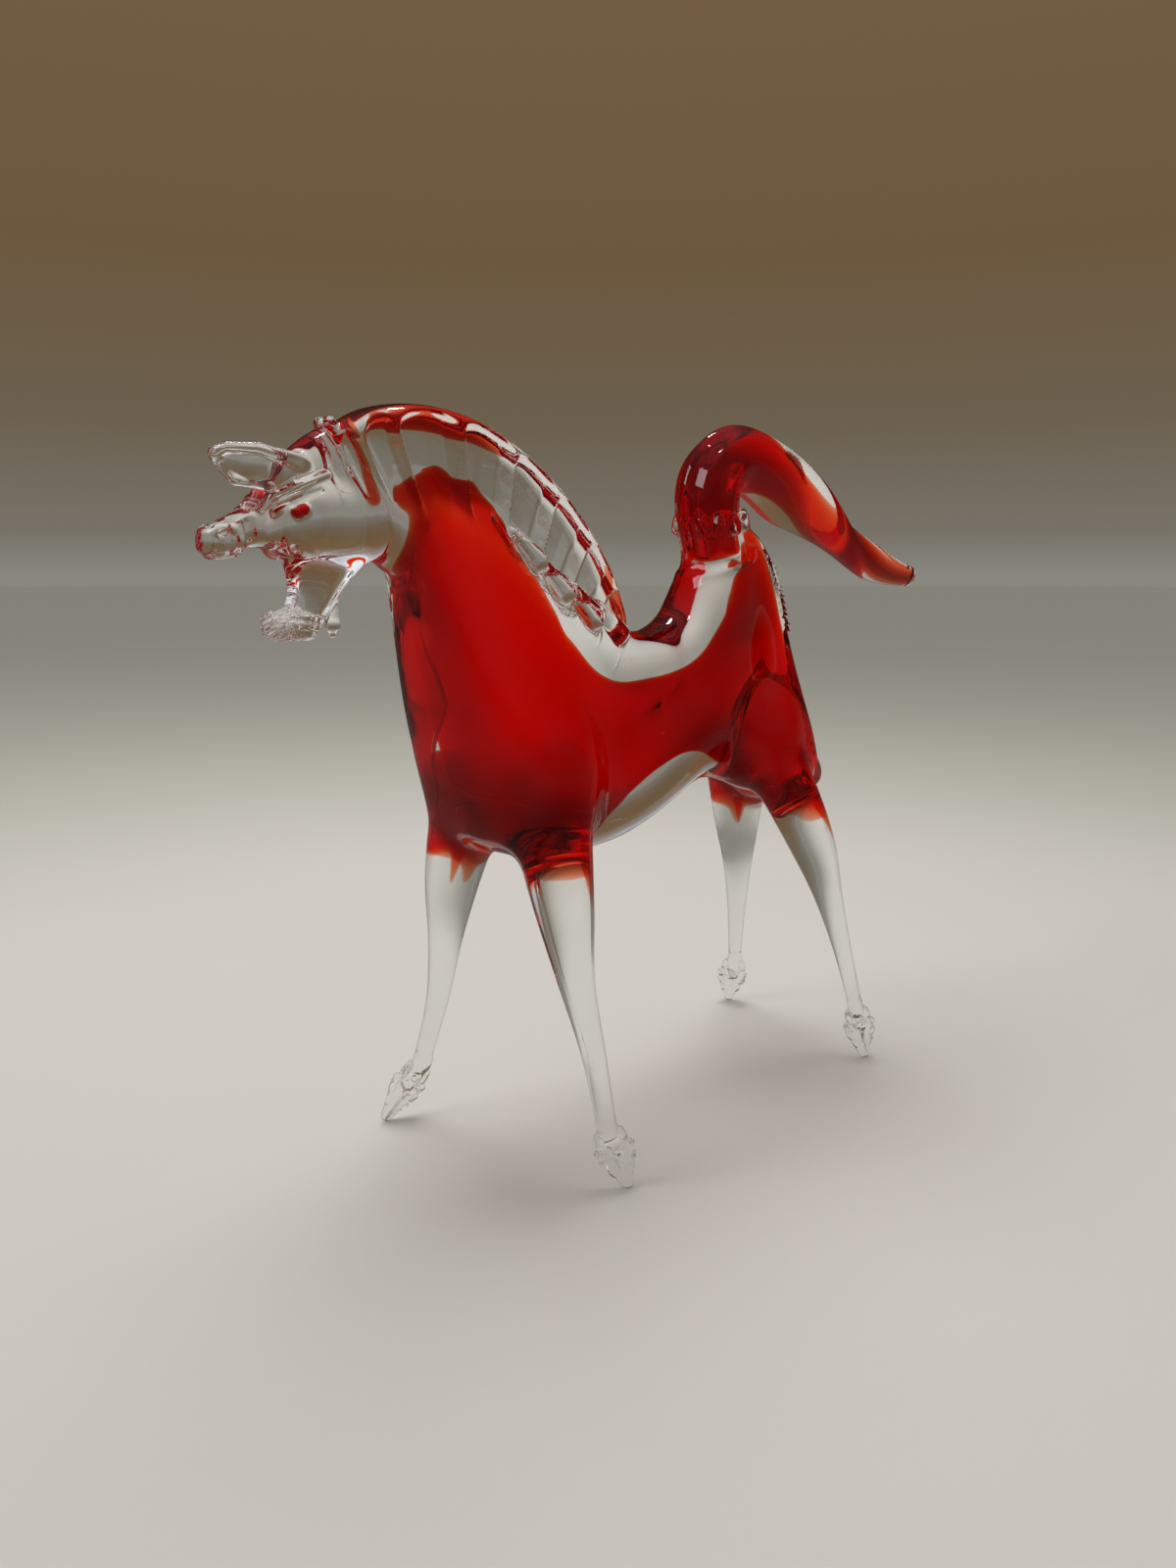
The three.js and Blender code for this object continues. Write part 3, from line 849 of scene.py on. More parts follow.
# %% Drops at the foot of the mane
# Where the lower ends of the faces run out on the neck: start, end and their two thicknesses.
MANE_ENDS = [
    ((-39.4, -4.4, 101.4), (-35.6, -4.8, 97.4), 1.0, 2.0),
    ((-33.2, -4.5, 96.3), (-30.2, -4.9, 92.8), 1.1, 2.4),
    ((-28.2, -4.3, 93.6), (-24.0, -4.9, 88.8), 1.1, 2.6),
    ((-21.0, -3.6, 90.2), (-17.6, -4.2, 85.6), 1.1, 2.5),
]

mane_ends = both([bead(*ends) for ends in MANE_ENDS])
print("drops along the mane:", len(mane_ends))

# %% [markdown]
# ## Tail
# A cane of red and clear is stuck on the croup, bent over while soft and twisted as it is drawn out. A
# curve with an oval bevel and a tilt could follow it, but would not melt into the croup. The field looks
# for the nearest place on the spine first and then measures in the section there. Flutes from the first
# twist run up the stem and fade over the bend.

# %% Bent canes
SPINE_STEPS = 420
FLUTES = 7
TAIL_SOFTEN = 0.12


def cane(rows, end_cap):
    """A tube along a bent spine, with a fluted oval section that twists."""
    rows = np.asarray(rows, float)
    flow = Flow(range(len(rows)), rows, fine=ROW_FINE, soften=TAIL_SOFTEN)
    steps = np.linspace(0, len(rows) - 1, SPINE_STEPS)
    place, height, wide, deep, twist, flute = (np.asarray(size) for size in flow(steps))
    run_x, run_z = np.gradient(place), np.gradient(height)
    pace = np.hypot(run_x, run_z)
    run_x, run_z = run_x / pace, run_z / pace
    columns = (place, height, wide, deep, np.radians(twist), flute, run_x, run_z)

    def nearest(x, z):
        """The step of the spine that each point of the middle plane is nearest to."""
        best = np.full(np.broadcast_shapes(x.shape, z.shape), np.inf)
        pick = np.zeros(best.shape, int)
        for i in range(SPINE_STEPS):
            away = (x - place[i]) ** 2 + (z - height[i]) ** 2
            pick[away < best] = i
            best = np.minimum(best, away)
        return pick

    def gap(*axes):
        x, y, z = np.ix_(*axes)
        flat_x, flat_z = x[:, 0, :], z[:, 0, :]
        pick = nearest(flat_x, flat_z)
        ahead = (flat_x - place[pick]) * run_x[pick] + (flat_z - height[pick]) * run_z[pick]
        spot = pick + ahead / pace[pick]
        past = np.maximum(-spot, 0) * pace[0] + np.maximum(spot - (SPINE_STEPS - 1), 0) * pace[-1]
        spot = np.clip(spot, 0, SPINE_STEPS - 1)
        at = [np.interp(spot, np.arange(SPINE_STEPS), column)[:, None, :] for column in columns]
        middle_x, middle_z, half_wide, half_deep, turn, dent, along_x, along_z = at
        out = (z - middle_z) * along_x - (x - middle_x) * along_z
        across = (y * np.cos(turn) + out * np.sin(turn)) / half_wide
        inward = (out * np.cos(turn) - y * np.sin(turn)) / half_deep
        ring = np.sqrt(across**2 + inward**2 + (past[:, None, :] / end_cap) ** 2)
        ring = ring + dent * np.cos(FLUTES * np.arctan2(inward, across)) * np.minimum(ring, 1)
        return settle((ring - 1).astype(np.float32), axes)

    reach = max(wide.max(), deep.max())
    low = (place.min() - reach, -reach, height.min() - reach)
    high = (place.max() + reach, reach, height.max() + reach)
    return Form(low, high, gap)


print("steps along a cane's spine:", SPINE_STEPS)

# %% Tail
# Rows of place, height, half-widths across and in the bend's plane, twist in degrees and flutes' depth.
TAIL = [
    (12, 97, 5, 5, 0, 0.07),
    (10, 106, 5.4, 5.8, 0, 0.07),
    (11, 112.5, 5.6, 5.8, 8, 0.05),
    (17, 116.6, 5.4, 5.6, 16, 0.02),
    (26, 114.6, 5, 6.2, 30, 0.0),
    (36, 109.8, 4.4, 6.8, 60, 0.0),
    (47, 104.6, 3.8, 6.4, 105, 0.0),
    (58, 100, 3.2, 5, 150, 0.0),
    (68, 96.8, 2.4, 3.4, 190, 0.0),
    (79, 95, 1.9, 2.2, 210, 0.0),
]
TAIL_CAP = 0.6

tail = cane(TAIL, TAIL_CAP)
print("tail from", tail.low.round(1), "to", tail.high.round(1))

# %% Folds at the foot of the tail
# Pinched folds where the stem is stuck on: middle and thickness.
TAIL_FOLDS = [
    ((5.6, -2.6, 105.0), 1.3),
    ((7.6, -5.0, 104.4), 1.2),
    ((10.6, -6.0, 104.2), 1.3),
    ((14.0, -5.4, 104.8), 1.2),
    ((16.4, -3.0, 105.6), 1.3),
]
FOLD_HALF = 0.8
TAPER = 0.7


def fold_bead(middle, radius):
    """One upright fold of the stem's foot."""
    x, y, z = middle
    return bead((x, y, z - FOLD_HALF), (x, y, z + FOLD_HALF), radius, TAPER * radius)


tail_folds = both([fold_bead(*fold) for fold in TAIL_FOLDS])
print("folds round the tail's foot:", len(tail_folds))

# %% [markdown]
# ## Hooves
# The foot of each leg is squeezed with toothed tweezers into a folded leaf with a pointed toe, and the
# squeezed-out glass stands as two knobs at the fetlock. Each leaf is two flat drops that meet in a crease
# down its middle. Teeth stand along the edge, and small facets are pressed into both faces for the
# sparkle. Their places come from a seeded draw, because the tweezers never bite twice alike.

# %% Places on a hoof
HOOF_FACES = {
    "front_left": (-0.62, -0.78, 0),
    "front_right": (-0.25, -0.97, 0),
    "hind_left": (-0.5, -0.85, 0),
    "hind_right": (-0.75, -0.65, 0),
}
TOE_HALF = 0.8


class Foot:
    """The directions of one hoof: down its length, to its side and out of its face."""

    def __init__(self, name):
        self.ankle = np.array([*STANCES[name][1], LEG_HEIGHTS[0]])
        self.axis = np.array([*STANCES[name][0], TOE_HALF]) - self.ankle
        side = np.cross(self.axis, HOOF_FACES[name])
        self.side = side / np.linalg.norm(side)
        face = np.cross(self.side, self.axis)
        self.face = face / np.linalg.norm(face)

    def at(self, down, across, out=0):
        """A point by its share of the way down, then millimetres to the side and out of the face."""
        return self.ankle + down * self.axis + across * self.side + out * self.face


feet = {name: Foot(name) for name in STANCES}
print("lengths of the hooves in mm:", [round(float(np.linalg.norm(foot.axis)), 1) for foot in feet.values()])

# %% Leaves, knobs and teeth
LEAF_SPREAD = 1.1
LEAF_FOLD = math.radians(32)
LEAF_TOP = 0.42
LEAF_HALF = 2.1
LEAF_FLAT = 0.42
TOE_SPREAD = 0.35
# The rod in the middle, as shares of the way down, and its thicknesses.
ROD = (-0.1, 0.35)
ROD_HALVES = (1.45, 1.5)
# Ends of a knob and roots of the teeth: share of the way down and millimetres to the side.
KNOB_ENDS = ((0.1, 1.6), (0.24, 2.0))
KNOB = 0.95
RIM_TEETH = ((0.34, 2.8), (0.52, 2.5), (0.7, 1.7))
TOOTH = 0.6
TOOTH_RUN = 0.08
TOOTH_LEAN = 0.92


def squeezed_out(foot):
    """The rod, leaves, knobs and teeth of a hoof."""
    parts = [bead(foot.at(ROD[0], 0), foot.at(ROD[1], 0), *ROD_HALVES)]
    for hand in (-1, 1):
        normal = foot.face * math.cos(LEAF_FOLD) + hand * foot.side * math.sin(LEAF_FOLD)
        leaf_top, leaf_end = foot.at(LEAF_TOP, hand * LEAF_SPREAD), foot.at(1, hand * TOE_SPREAD)
        parts.append(bead(leaf_top, leaf_end, LEAF_HALF, TOE_HALF, flat=normal, share=LEAF_FLAT))
        knob_top, knob_end = (foot.at(down, hand * across) for down, across in KNOB_ENDS)
        parts.append(bead(knob_top, knob_end, KNOB, TAPER * KNOB))
        for down, across in RIM_TEETH:
            root, tip = foot.at(down, hand * across), foot.at(down + TOOTH_RUN, hand * across * TOOTH_LEAN)
            parts.append(bead(root, tip, TOOTH, TAPER * TOOTH))
    return parts


print("parts of a hoof:", len(squeezed_out(feet["front_left"])))

# %% Dents and facets
# Flats left by the tweezers: share of the way down, millimetres to the side and out of the face.
FACE_DENTS = ((0.42, 1.5, 2.2), (0.66, 1.0, 1.9), (0.5, 1.5, -2.3))
DENT = 1.25
DENT_RUN = 0.2
DENT_LEAN = 0.6
# Small facets: lowest and highest share of the way down and millimetres to the side.
FACETS = 14
FACET_LOW = (0.22, -2.4)
FACET_HIGH = (0.95, 2.4)
FACET_OUT = 2.0
FACET_RADIUS = 1.35


def bitten_in(foot, draw):
    """The dents and facets of a hoof."""
    dents = []
    for hand in (-1, 1):
        for down, across, out in FACE_DENTS:
            upper = foot.at(down, hand * across, out)
            lower = foot.at(down + DENT_RUN, hand * DENT_LEAN * across, out)
            dents.append(bead(upper, lower, DENT, DENT))
    for count, (down, across) in enumerate(draw.uniform(FACET_LOW, FACET_HIGH, (FACETS, 2))):
        spot = foot.at(down, across, FACET_OUT if count % 2 else -FACET_OUT)
        dents.append(bead(spot, spot, FACET_RADIUS, FACET_RADIUS))
    return dents


print("dents and facets of a hoof:", 2 * len(FACE_DENTS) + FACETS)

# %% Hooves
HOOF_MELT = 0.3
DENT_EDGE = 0.1
HOOF_SEED = 11

hooves = {}
for number, (name, foot) in enumerate(feet.items()):
    draw = np.random.default_rng(HOOF_SEED + number)
    hooves[name] = pressed(together(squeezed_out(foot), HOOF_MELT), bitten_in(foot, draw), DENT_EDGE)
print("hooves:", len(hooves))

# %% [markdown]
# ## Red core
# The red gather lies inside the clear one, as a sheet along the horse's middle. Round glass works as a
# lens and makes a core look wider than it is, so one that looks as if it filled the body can be a good
# deal smaller. Under the back it lies low, which leaves the clear saddle. Where the legs are stuck on,
# their clear tops press domes up into the red, and red cusps run down beside them.

# %% Red core
# Rows of place, underside, topline, half-width low down and half-width high up.
CORE = [
    (-55.5, 92, 104, 2, 2),
    (-53, 84, 107, 3.2, 2.6),
    (-50, 72, 107.4, 3, 2.4),
    (-46.5, 63, 107, 3.2, 2.4),
    (-42, 58, 104.5, 3.4, 2.6),
    (-36, 55.5, 96.5, 4, 3),
    (-30, 55, 87, 5.8, 3.6),
    (-24, 56, 80.4, 7.4, 4.4),
    (-16, 58.5, 77.6, 8.6, 5),
    (-8, 61.5, 77.6, 8.8, 5),
    (-1, 63.6, 78.4, 8.4, 5),
    (4, 64, 80, 8.2, 5),
    (9.5, 63.2, 84, 8, 4.6),
    (13.5, 62, 90, 7.8, 4.2),
    (16, 61, 99, 7.6, 3.8),
    (18.5, 58, 104, 7.6, 3.4),
    (26, 56.5, 98, 6.8, 3),
    (29.5, 55.5, 87, 6, 4),
    (32.5, 55.5, 73, 5, 4),
    (35, 57, 63, 3.2, 3),
]
CORE_CAP = 1.5
CORE_MELT = 3.0
# The red also stands up a little way into the mane: knots of place and thickness.
CREST_CORE = [(-57.5, 0, 106.0, 1.6), (-52, 0, 108.6, 1.9), (-46.5, 0, 107, 1.8), (-41, 0, 102, 1.5)]
CREST_MELT = 1.0

core_parts = [(pears(CORE, CORE_CAP, CORE_CAP), 0.0), (strand(CREST_CORE, CREST_MELT), CORE_MELT)]
print("red core from", core_parts[0][0].low, "to", core_parts[0][0].high)

# %% Red threads
# Red threads along the crest and down the first ridge of the mane: knots of place and thickness.
THREADS = [
    [
        (-65, 0, 115.2, 0.8),
        (-61, 0, 116.6, 1.5),
        (-53, 0, 117.0, 1.8),
        (-45, 0, 115.8, 1.5),
        (-38.5, 0, 113.2, 0.6),
    ],
    [(-18, 0, 96.3, 0.4), (-14.6, 0, 90.3, 1.1), (-13.4, 0, 86.2, 0.7)],
    [(-65.4, -0.9, 115.0, 0.8), (-64.4, -2.4, 110.0, 0.8), (-63.8, -3.2, 105.4, 1.1)],
]
THREAD_MELT = 0.3

threads = [(strand(knots, THREAD_MELT), 0.0) for knots in THREADS]
print("red threads:", len(threads))

# %% Domes, cusps and tongues
# Shares of the way from thigh to hip, and thicknesses.
HIP_CORE_END = 0.3
HIP_CORE = (5.6, 4.4)
DOME_TOP = 0.46
DOME_RADIUS = 4.6
DOME_EDGE = 0.5
CUSP_TOP = 0.55
CUSP_FOOT = 0.04
CUSP_HALVES = (1.6, 0.25)
CUSP_OUT = 3.6
CUSP_MELT = 0.8
# Directions from a left leg's middle to the two edges that carry red cusps.
CUSP_WAYS = ((-0.72, 0.69, 0), (0.72, -0.69, 0))
# Clear tongues that run over the red: start, end, their thicknesses.
TONGUES = [
    ((-64, -7, 101.5), (-56.2, -8.6, 96.8), 3.4, 2.2),
    ((-57.6, 0, 92.4), (-52.4, 0, 86.8), 1.3, 1.9),
]
TONGUE_EDGE = 0.8

core_cuts = []
cusps = []
for name in STANCES:
    hip = np.array([*STANCES[name][-1], LEG_HEIGHTS[-1]])
    thigh = np.array([*STANCES[name][-2], LEG_HEIGHTS[-2]])
    climb = hip - thigh
    core_parts.append((bead(hip, thigh + HIP_CORE_END * climb, *HIP_CORE), CORE_MELT))
    dome_top = thigh + DOME_TOP * climb - (0, 0, DOME_RADIUS)
    core_cuts.append((bead(thigh, dome_top, DOME_RADIUS, DOME_RADIUS), DOME_EDGE))
    mirror = (1, -1 if "right" in name else 1, 1)
    for way in CUSP_WAYS:
        edge = thigh + CUSP_OUT * np.array(way) * mirror
        cusps.append((bead(edge + CUSP_TOP * climb, edge + CUSP_FOOT * climb, *CUSP_HALVES), CUSP_MELT))
core_cuts += [(tongue, TONGUE_EDGE) for tongue in both([bead(*tongue) for tongue in TONGUES])]
print("clear domes and tongues in the red:", len(core_cuts))

# %% [markdown]
# ## Tail ribbon
# The red of the tail fills the stem and then thins to a ribbon, because the cane is drawn out and
# twisted. A twisted plane would do for the ribbon alone, but the rule for a bent cane makes stem and
# ribbon in one piece. The ribbon turns in its own time, and so it swings from side to side inside the
# clear.

# %% Tail ribbon
# Rows as for the tail.
RIBBON = [
    (12.6, 98.5, 3.4, 3.4, 0, 0),
    (10.4, 105, 4.4, 4.6, 0, 0),
    (11, 112.4, 4.6, 4.8, 10, 0),
    (17, 116.4, 4.4, 4.4, 60, 0),
    (26, 115.2, 3.0, 3.2, 30, 0),
    (36, 110.9, 1.7, 2.8, 40, 0),
    (47, 104.8, 1.4, 3.2, 75, 0),
    (58, 100, 1.4, 3, 130, 0),
    (68, 96.8, 1.0, 1.8, 190, 0),
    (78.8, 95, 0.9, 1.2, 220, 0),
]

ribbon = cane(RIBBON, TAIL_CAP)
print("ribbon twists through", RIBBON[-1][4], "degrees")

# %% [markdown]
# ## Melting it all together
# The bits are put on in the order of the bench, and each melts into what is there. One very fine block of
# points for the whole horse would not fit in memory, so each piece is read in a block of its own, fine
# where the marks of the tweezers are small. All blocks hold the same glass, so the skins meet without a
# step.

# %% Melting the clear glass
# Rows of forms and the fillet that each of them melts on with, in the order of the bench.
BENCH = [([body], 0), ([skull], 4.0), ([jaw], 2.5)]
for name in STANCES:
    BENCH += [([legs[name]], 5.0), ([hooves[name]], 0.6)]
BENCH += [
    ([tail], 2.0),
    (tail_folds, 0.5),
    ([mane], 1.0),
    (mane_ends, 0.5),
    ([nose, chin], 0.5),
    ([chin_drop], 0.4),
    (ears, 0.9),
    (face_ridges, 0.35),
]
FACE_DENT_EDGE = 0.3
POLL_FILLET = 0.4

clear_parts = [(form, fillet) for forms, fillet in BENCH for form in forms]
clear_cuts = [(dent, FACE_DENT_EDGE) for dent in face_dents]
last_parts = [(ridge, POLL_FILLET) for ridge in poll_ridges]
print("bits of clear glass:", len(clear_parts) + len(last_parts), "and dents in it:", len(clear_cuts))

# %% Melted blocks


def melted(low, high, step, parts, cuts=(), more=()):
    """A block of points with glass melted from parts, pressed by cuts and then given more parts."""
    block = Block([np.arange(start, end + step, step) for start, end in zip(low, high)])
    for form, radius in parts:
        block.add(form, radius)
    for form, radius in cuts:
        block.cut(form, radius)
    for form, radius in more:
        block.add(form, radius)
    return block


def clear_block(low, high, step):
    """A block of points with all the clear glass that reaches into it, flat where it stands on the table."""
    block = melted(low, high, step, clear_parts, clear_cuts, last_parts)
    block.gap = np.maximum(block.gap, -block.axes[2][None, None, :])
    return block


saddle_block = clear_block((-8, -8, 80), (0, 8, 90), 1.0)
print("points of clear glass in a small block of the saddle:", int((saddle_block.gap < 0).sum()))

# %% [markdown]
# ## Where one piece ends
# The real seams are fused, so no wall stands between the pieces. Each piece is the part of one unbroken
# skin on its own side of a seam. A seam is a rule that is negative on one side and positive on the other,
# and the faces that cross it are cut there, so two neighbours share the same line. Closed solids that
# touch would put two walls of glass and a film of air in the light's way.

# %% Level seams and sides
JAW_SEAM = 96.9
LEG_SEAM = 45.0
HOOF_SEAM = 9.6


def below(height):
    """A level seam, negative below it."""
    return lambda points: points[:, 2] - height


def left(points):
    """Negative on the horse's left."""
    return points[:, 1]


def other(seam):
    """The far side of a seam."""
    return lambda points: -seam(points)


jaw_seam = below(JAW_SEAM)
leg_seam = below(LEG_SEAM)
hoof_seam = below(HOOF_SEAM)
print("level seams in mm:", JAW_SEAM, LEG_SEAM, HOOF_SEAM)

# %% Seams of head, ears and tail
POLL = (-69.2, 116.0)
THROAT = (-62.0, 96.0)
HEAD_LOW = 82.0
EAR_SEAM = (-80.6, 105.6)
# Height of the tail's seam, where it starts to fall and how fast.
TAIL_SEAM = (105.2, 22.0, 0.6)
TAIL_FRONT = -2.0


def head_seam(points):
    """Negative in front of the poll."""
    run = np.subtract(THROAT, POLL)
    run = run / np.linalg.norm(run)
    behind = (points[:, 0] - POLL[0]) * -run[1] + (points[:, 2] - POLL[1]) * run[0]
    return np.maximum(behind, HEAD_LOW - points[:, 2])


def ear_seam(points):
    """Negative over the brow, in front of the ear's root."""
    return np.maximum(points[:, 0] - EAR_SEAM[0], EAR_SEAM[1] - points[:, 2])


def tail_seam(points):
    """Negative above the croup."""
    height, start, fall = TAIL_SEAM
    under = height - fall * np.maximum(points[:, 0] - start, 0) - points[:, 2]
    return np.maximum(under, TAIL_FRONT - points[:, 0])


print("head seam from", POLL, "to", THROAT)

# %% Seam of the mane
MANE_SHARE = 0.12
MANE_SEAM_END = 7.6
MANE_SEAM_POINTS = 60
MANE_TAIL_END = ((-15.0, 79.5), (-9.5, 80.0), (-7.0, 92.0))


def mane_seam(points):
    """Negative above the line where the strip leaves the neck."""
    crest_x, crest_z, root_x, root_z, _ = mane_flow(np.linspace(0, MANE_SEAM_END, MANE_SEAM_POINTS))
    end_x, end_z = np.transpose(MANE_TAIL_END)
    line_x = np.append(root_x + MANE_SHARE * (crest_x - root_x), end_x)
    line_z = np.append(root_z + MANE_SHARE * (crest_z - root_z), end_z)
    best = np.full(len(points), np.inf)
    side = np.zeros(len(points))
    for x, z, next_x, next_z in zip(line_x, line_z, line_x[1:], line_z[1:]):
        run_x, run_z = next_x - x, next_z - z
        share = ((points[:, 0] - x) * run_x + (points[:, 2] - z) * run_z) / (run_x**2 + run_z**2)
        share = np.clip(share, 0, 1)
        off_x, off_z = points[:, 0] - x - share * run_x, points[:, 2] - z - share * run_z
        away = np.hypot(off_x, off_z)
        turn = run_z * off_x - run_x * off_z
        side = np.where(away < best, np.where(turn < 0, -away, away), side)
        best = np.minimum(best, away)
    return side


print("the mane's seam lies", MANE_SHARE, "of the way up its sides")

# %% [markdown]
# ## Skins
# A skin is the surface where the gap is zero. Blender's metaballs draw such a surface too, but only of
# blobs. The volume library that comes with Blender turns a block into quads, and each point is then
# pulled onto the surface, so that no stair steps show in the reflections. The normals come straight from
# the field, because glass shows the smallest ripple.

# %% Cutting along a seam


def trim(points, quads, rings, side):
    """The part of a skin where the side is negative, cut clean along zero.

    Whole quads stay quads, and the faces that a cut leaves are rings.
    """
    points = list(points)
    cuts = {}
    inside = side < 0
    within = inside[quads]
    crossed = within.any(axis=1) & ~within.all(axis=1)
    kept = []
    for face in [*rings, *quads[crossed].tolist()]:
        ring = []
        for here, there in zip(face, (*face[1:], face[0])):
            if inside[here]:
                ring.append(here)
            if inside[here] != inside[there]:
                edge = (min(here, there), max(here, there))
                if edge not in cuts:
                    share = side[edge[0]] / (side[edge[0]] - side[edge[1]])
                    cuts[edge] = len(points)
                    points.append(points[edge[0]] + share * (points[edge[1]] - points[edge[0]]))
                ring.append(cuts[edge])
        if ring:
            kept.append(ring)
    return np.array(points), quads[within.all(axis=1)], kept


square = np.array([(0.0, 0, 0), (1, 0, 0), (1, 1, 0), (0, 1, 0)])
half_square = trim(square, np.array([[0, 1, 2, 3]]), [], square[:, 0] - 0.5)
print("half of a square has", len(half_square[2][0]), "corners")

# %% Pulling points onto the surface
PULLS = 3
PULL_REACH = 0.5
PULL_STEEP = 0.3


def pull(block, points):
    """Points moved straight onto the surface of a block's glass, a short way at a time."""
    longest = PULL_REACH * block.step
    for _ in range(PULLS):
        out, steep = block.slope(points)
        reach = np.clip(block.read(points) / np.maximum(steep, PULL_STEEP), -longest, longest)
        points = points - out * reach[:, None]
    return points


print("each point is pulled", PULLS, "times")

# %% Skins
SKIN_BAND = 4


def skin(name, block, seams=()):
    """A smooth mesh of the glass in a block, on the negative side of the seams."""
    band = SKIN_BAND * block.step
    grid = openvdb.FloatGrid(band)
    grid.copyFromArray(np.clip(block.gap, -band, band))
    points, quads = grid.convertToQuads()
    points = pull(block, points * block.step + [axis[0] for axis in block.axes])
    rings = []
    for seam in seams:
        points, quads, rings = trim(points, quads, rings, seam(points))
    used = np.unique(np.concatenate([quads.ravel(), *rings]).astype(int))
    order = np.zeros(len(points), int)
    order[used] = np.arange(len(used))
    faces = order[quads].tolist() + [order[ring].tolist() for ring in rings]
    points = pull(block, points[used])
    out, _ = block.slope(points)
    mesh = bpy.data.meshes.new(name)
    mesh.from_pydata(to_frame(points).tolist(), [], faces)
    mesh.shade_smooth()
    mesh.normals_split_custom_set_from_vertices(out.tolist())
    piece = bpy.data.objects.new(name, mesh)
    bpy.context.scene.collection.objects.link(piece)
    print(name, "faces:", len(faces))
    return piece


print("a skin is looked for within", SKIN_BAND, "steps of the surface")

# %% [markdown]
# ## Clear pieces
# The body is plain and can be read coarsely. The head, the ears and the feet carry the marks of the
# tweezers, which are a few tenths of a millimetre deep, so their points lie closer together. Each piece
# gets the step that its own detail needs.

# %% Body, head, mane and tail
BODY_STEP = 0.45
HEAD_STEP = 0.2
CRIMP_STEP = 0.16
MANE_STEP = 0.25
TAIL_STEP = 0.3
# Rows of the lowest and highest corner of a piece's block, its step and its seams.
CLEAR = {
    "body_casing": (
        (-66, -21, 44),
        (46, 21, 113),
        BODY_STEP,
        [other(leg_seam), other(head_seam), other(mane_seam), other(tail_seam)],
    ),
    "head": ((-90, -9, 94), (-57, 9, 121), HEAD_STEP, [head_seam, other(jaw_seam), other(ear_seam)]),
    "lower_jaw": ((-83, -7, 84), (-57, 7, 100), CRIMP_STEP, [head_seam, jaw_seam]),
    "mane": ((-73, -13, 76), (-4, 13, 123), MANE_STEP, [other(head_seam), mane_seam]),
    "tail_casing": ((0, -11, 88), (84, 11, 126), TAIL_STEP, [tail_seam]),
    "ear_left": ((-90, -6, 103), (-78, 7, 115), CRIMP_STEP, [ear_seam, left]),
    "ear_right": ((-90, -6, 103), (-78, 7, 115), CRIMP_STEP, [ear_seam, other(left)]),
}
clear_pieces = {}
for name, (low, high, step, seams) in CLEAR.items():
    clear_pieces[name] = skin(name, clear_block(low, high, step), seams)

# %% Legs and hooves
LEG_STEP = 0.3
HOOF_STEP = 0.15
# Room beside a leg or a hoof, and the heights that their blocks span.
LEG_ROOM = 9
LEG_SPAN = (7, 50)
HOOF_ROOM = 7
HOOF_SPAN = (-1.5, 12)
OFF_MIDDLE = 1

for name, stance in STANCES.items():
    places = np.array(stance)
    low, high = places.min(axis=0) - LEG_ROOM, places.max(axis=0) + LEG_ROOM
    if "left" in name:
        high[1] = min(high[1], -OFF_MIDDLE)
    else:
        low[1] = max(low[1], OFF_MIDDLE)
    block = clear_block((*low, LEG_SPAN[0]), (*high, LEG_SPAN[1]), LEG_STEP)
    clear_pieces[f"{name}_leg"] = skin(f"{name}_leg", block, [leg_seam, other(hoof_seam)])
    low, high = places[:2].min(axis=0) - HOOF_ROOM, places[:2].max(axis=0) + HOOF_ROOM
    block = clear_block((*low, HOOF_SPAN[0]), (*high, HOOF_SPAN[1]), HOOF_STEP)
    clear_pieces[f"{name}_hoof"] = skin(f"{name}_hoof", block, [hoof_seam])
print("clear pieces:", len(clear_pieces))

# %% [markdown]
# ## Red pieces
# The red glass is one closed skin in the body, one in the tail and a bead for each eye. They could be cut
# out of the clear, which would put a wall between the two. Two kinds of glass that are fused have no
# wall, so the red simply lies inside the clear and takes colour out of the light.

# %% Red pieces
CORE_STEP = 0.4
RIBBON_STEP = 0.25
EYE_STEP = 0.1
EYE_ROOM = 1
# Lowest and highest corners of the blocks.
CORE_CORNERS = ((-70, -21, 40), (45, 21, 121))
RIBBON_CORNERS = ((2, -9, 88), (83, 9, 124))

core_block = melted(*CORE_CORNERS, CORE_STEP, core_parts, core_cuts, cusps + threads)
ribbon_block = melted(*RIBBON_CORNERS, RIBBON_STEP, [(ribbon, 0)])
red_pieces = {"body_core": skin("body_core", core_block), "tail_core": skin("tail_core", ribbon_block)}
for name, one in (("eye_left", eye), ("eye_right", mirrored(eye))):
    block = melted(one.low - EYE_ROOM, one.high + EYE_ROOM, EYE_STEP, [(one, 0)])
    red_pieces[name] = skin(name, block)
print("red pieces:", len(red_pieces))

# %% [markdown]
# ## Shader maths
# A material is a small program of nodes, and sums in it are hard to read as a web of boxes. Here a wire
# is a socket that can be added, subtracted and multiplied like a number, and each sum puts in its Math
# node. Colours go through Mix, because a Math node turns a colour grey.

# %% Ramps


def set_stops(elements, stops):
    """Gives a colour ramp its stops, which are pairs of place and colour."""
    while len(elements) < len(stops):
        elements.new(0.5)
    for element, (place, shade) in zip(elements, stops):
        element.position = place
        element.color = (*shade, 1)


print("a ramp takes stops of place and colour")

# %% Shader sockets
# The Mix node has sockets for numbers, vectors and colours. These are its factor, colours and result.
MIX_FACTOR = 0
MIX_FROM = 6
MIX_TO = 7
MIX_RESULT = 2


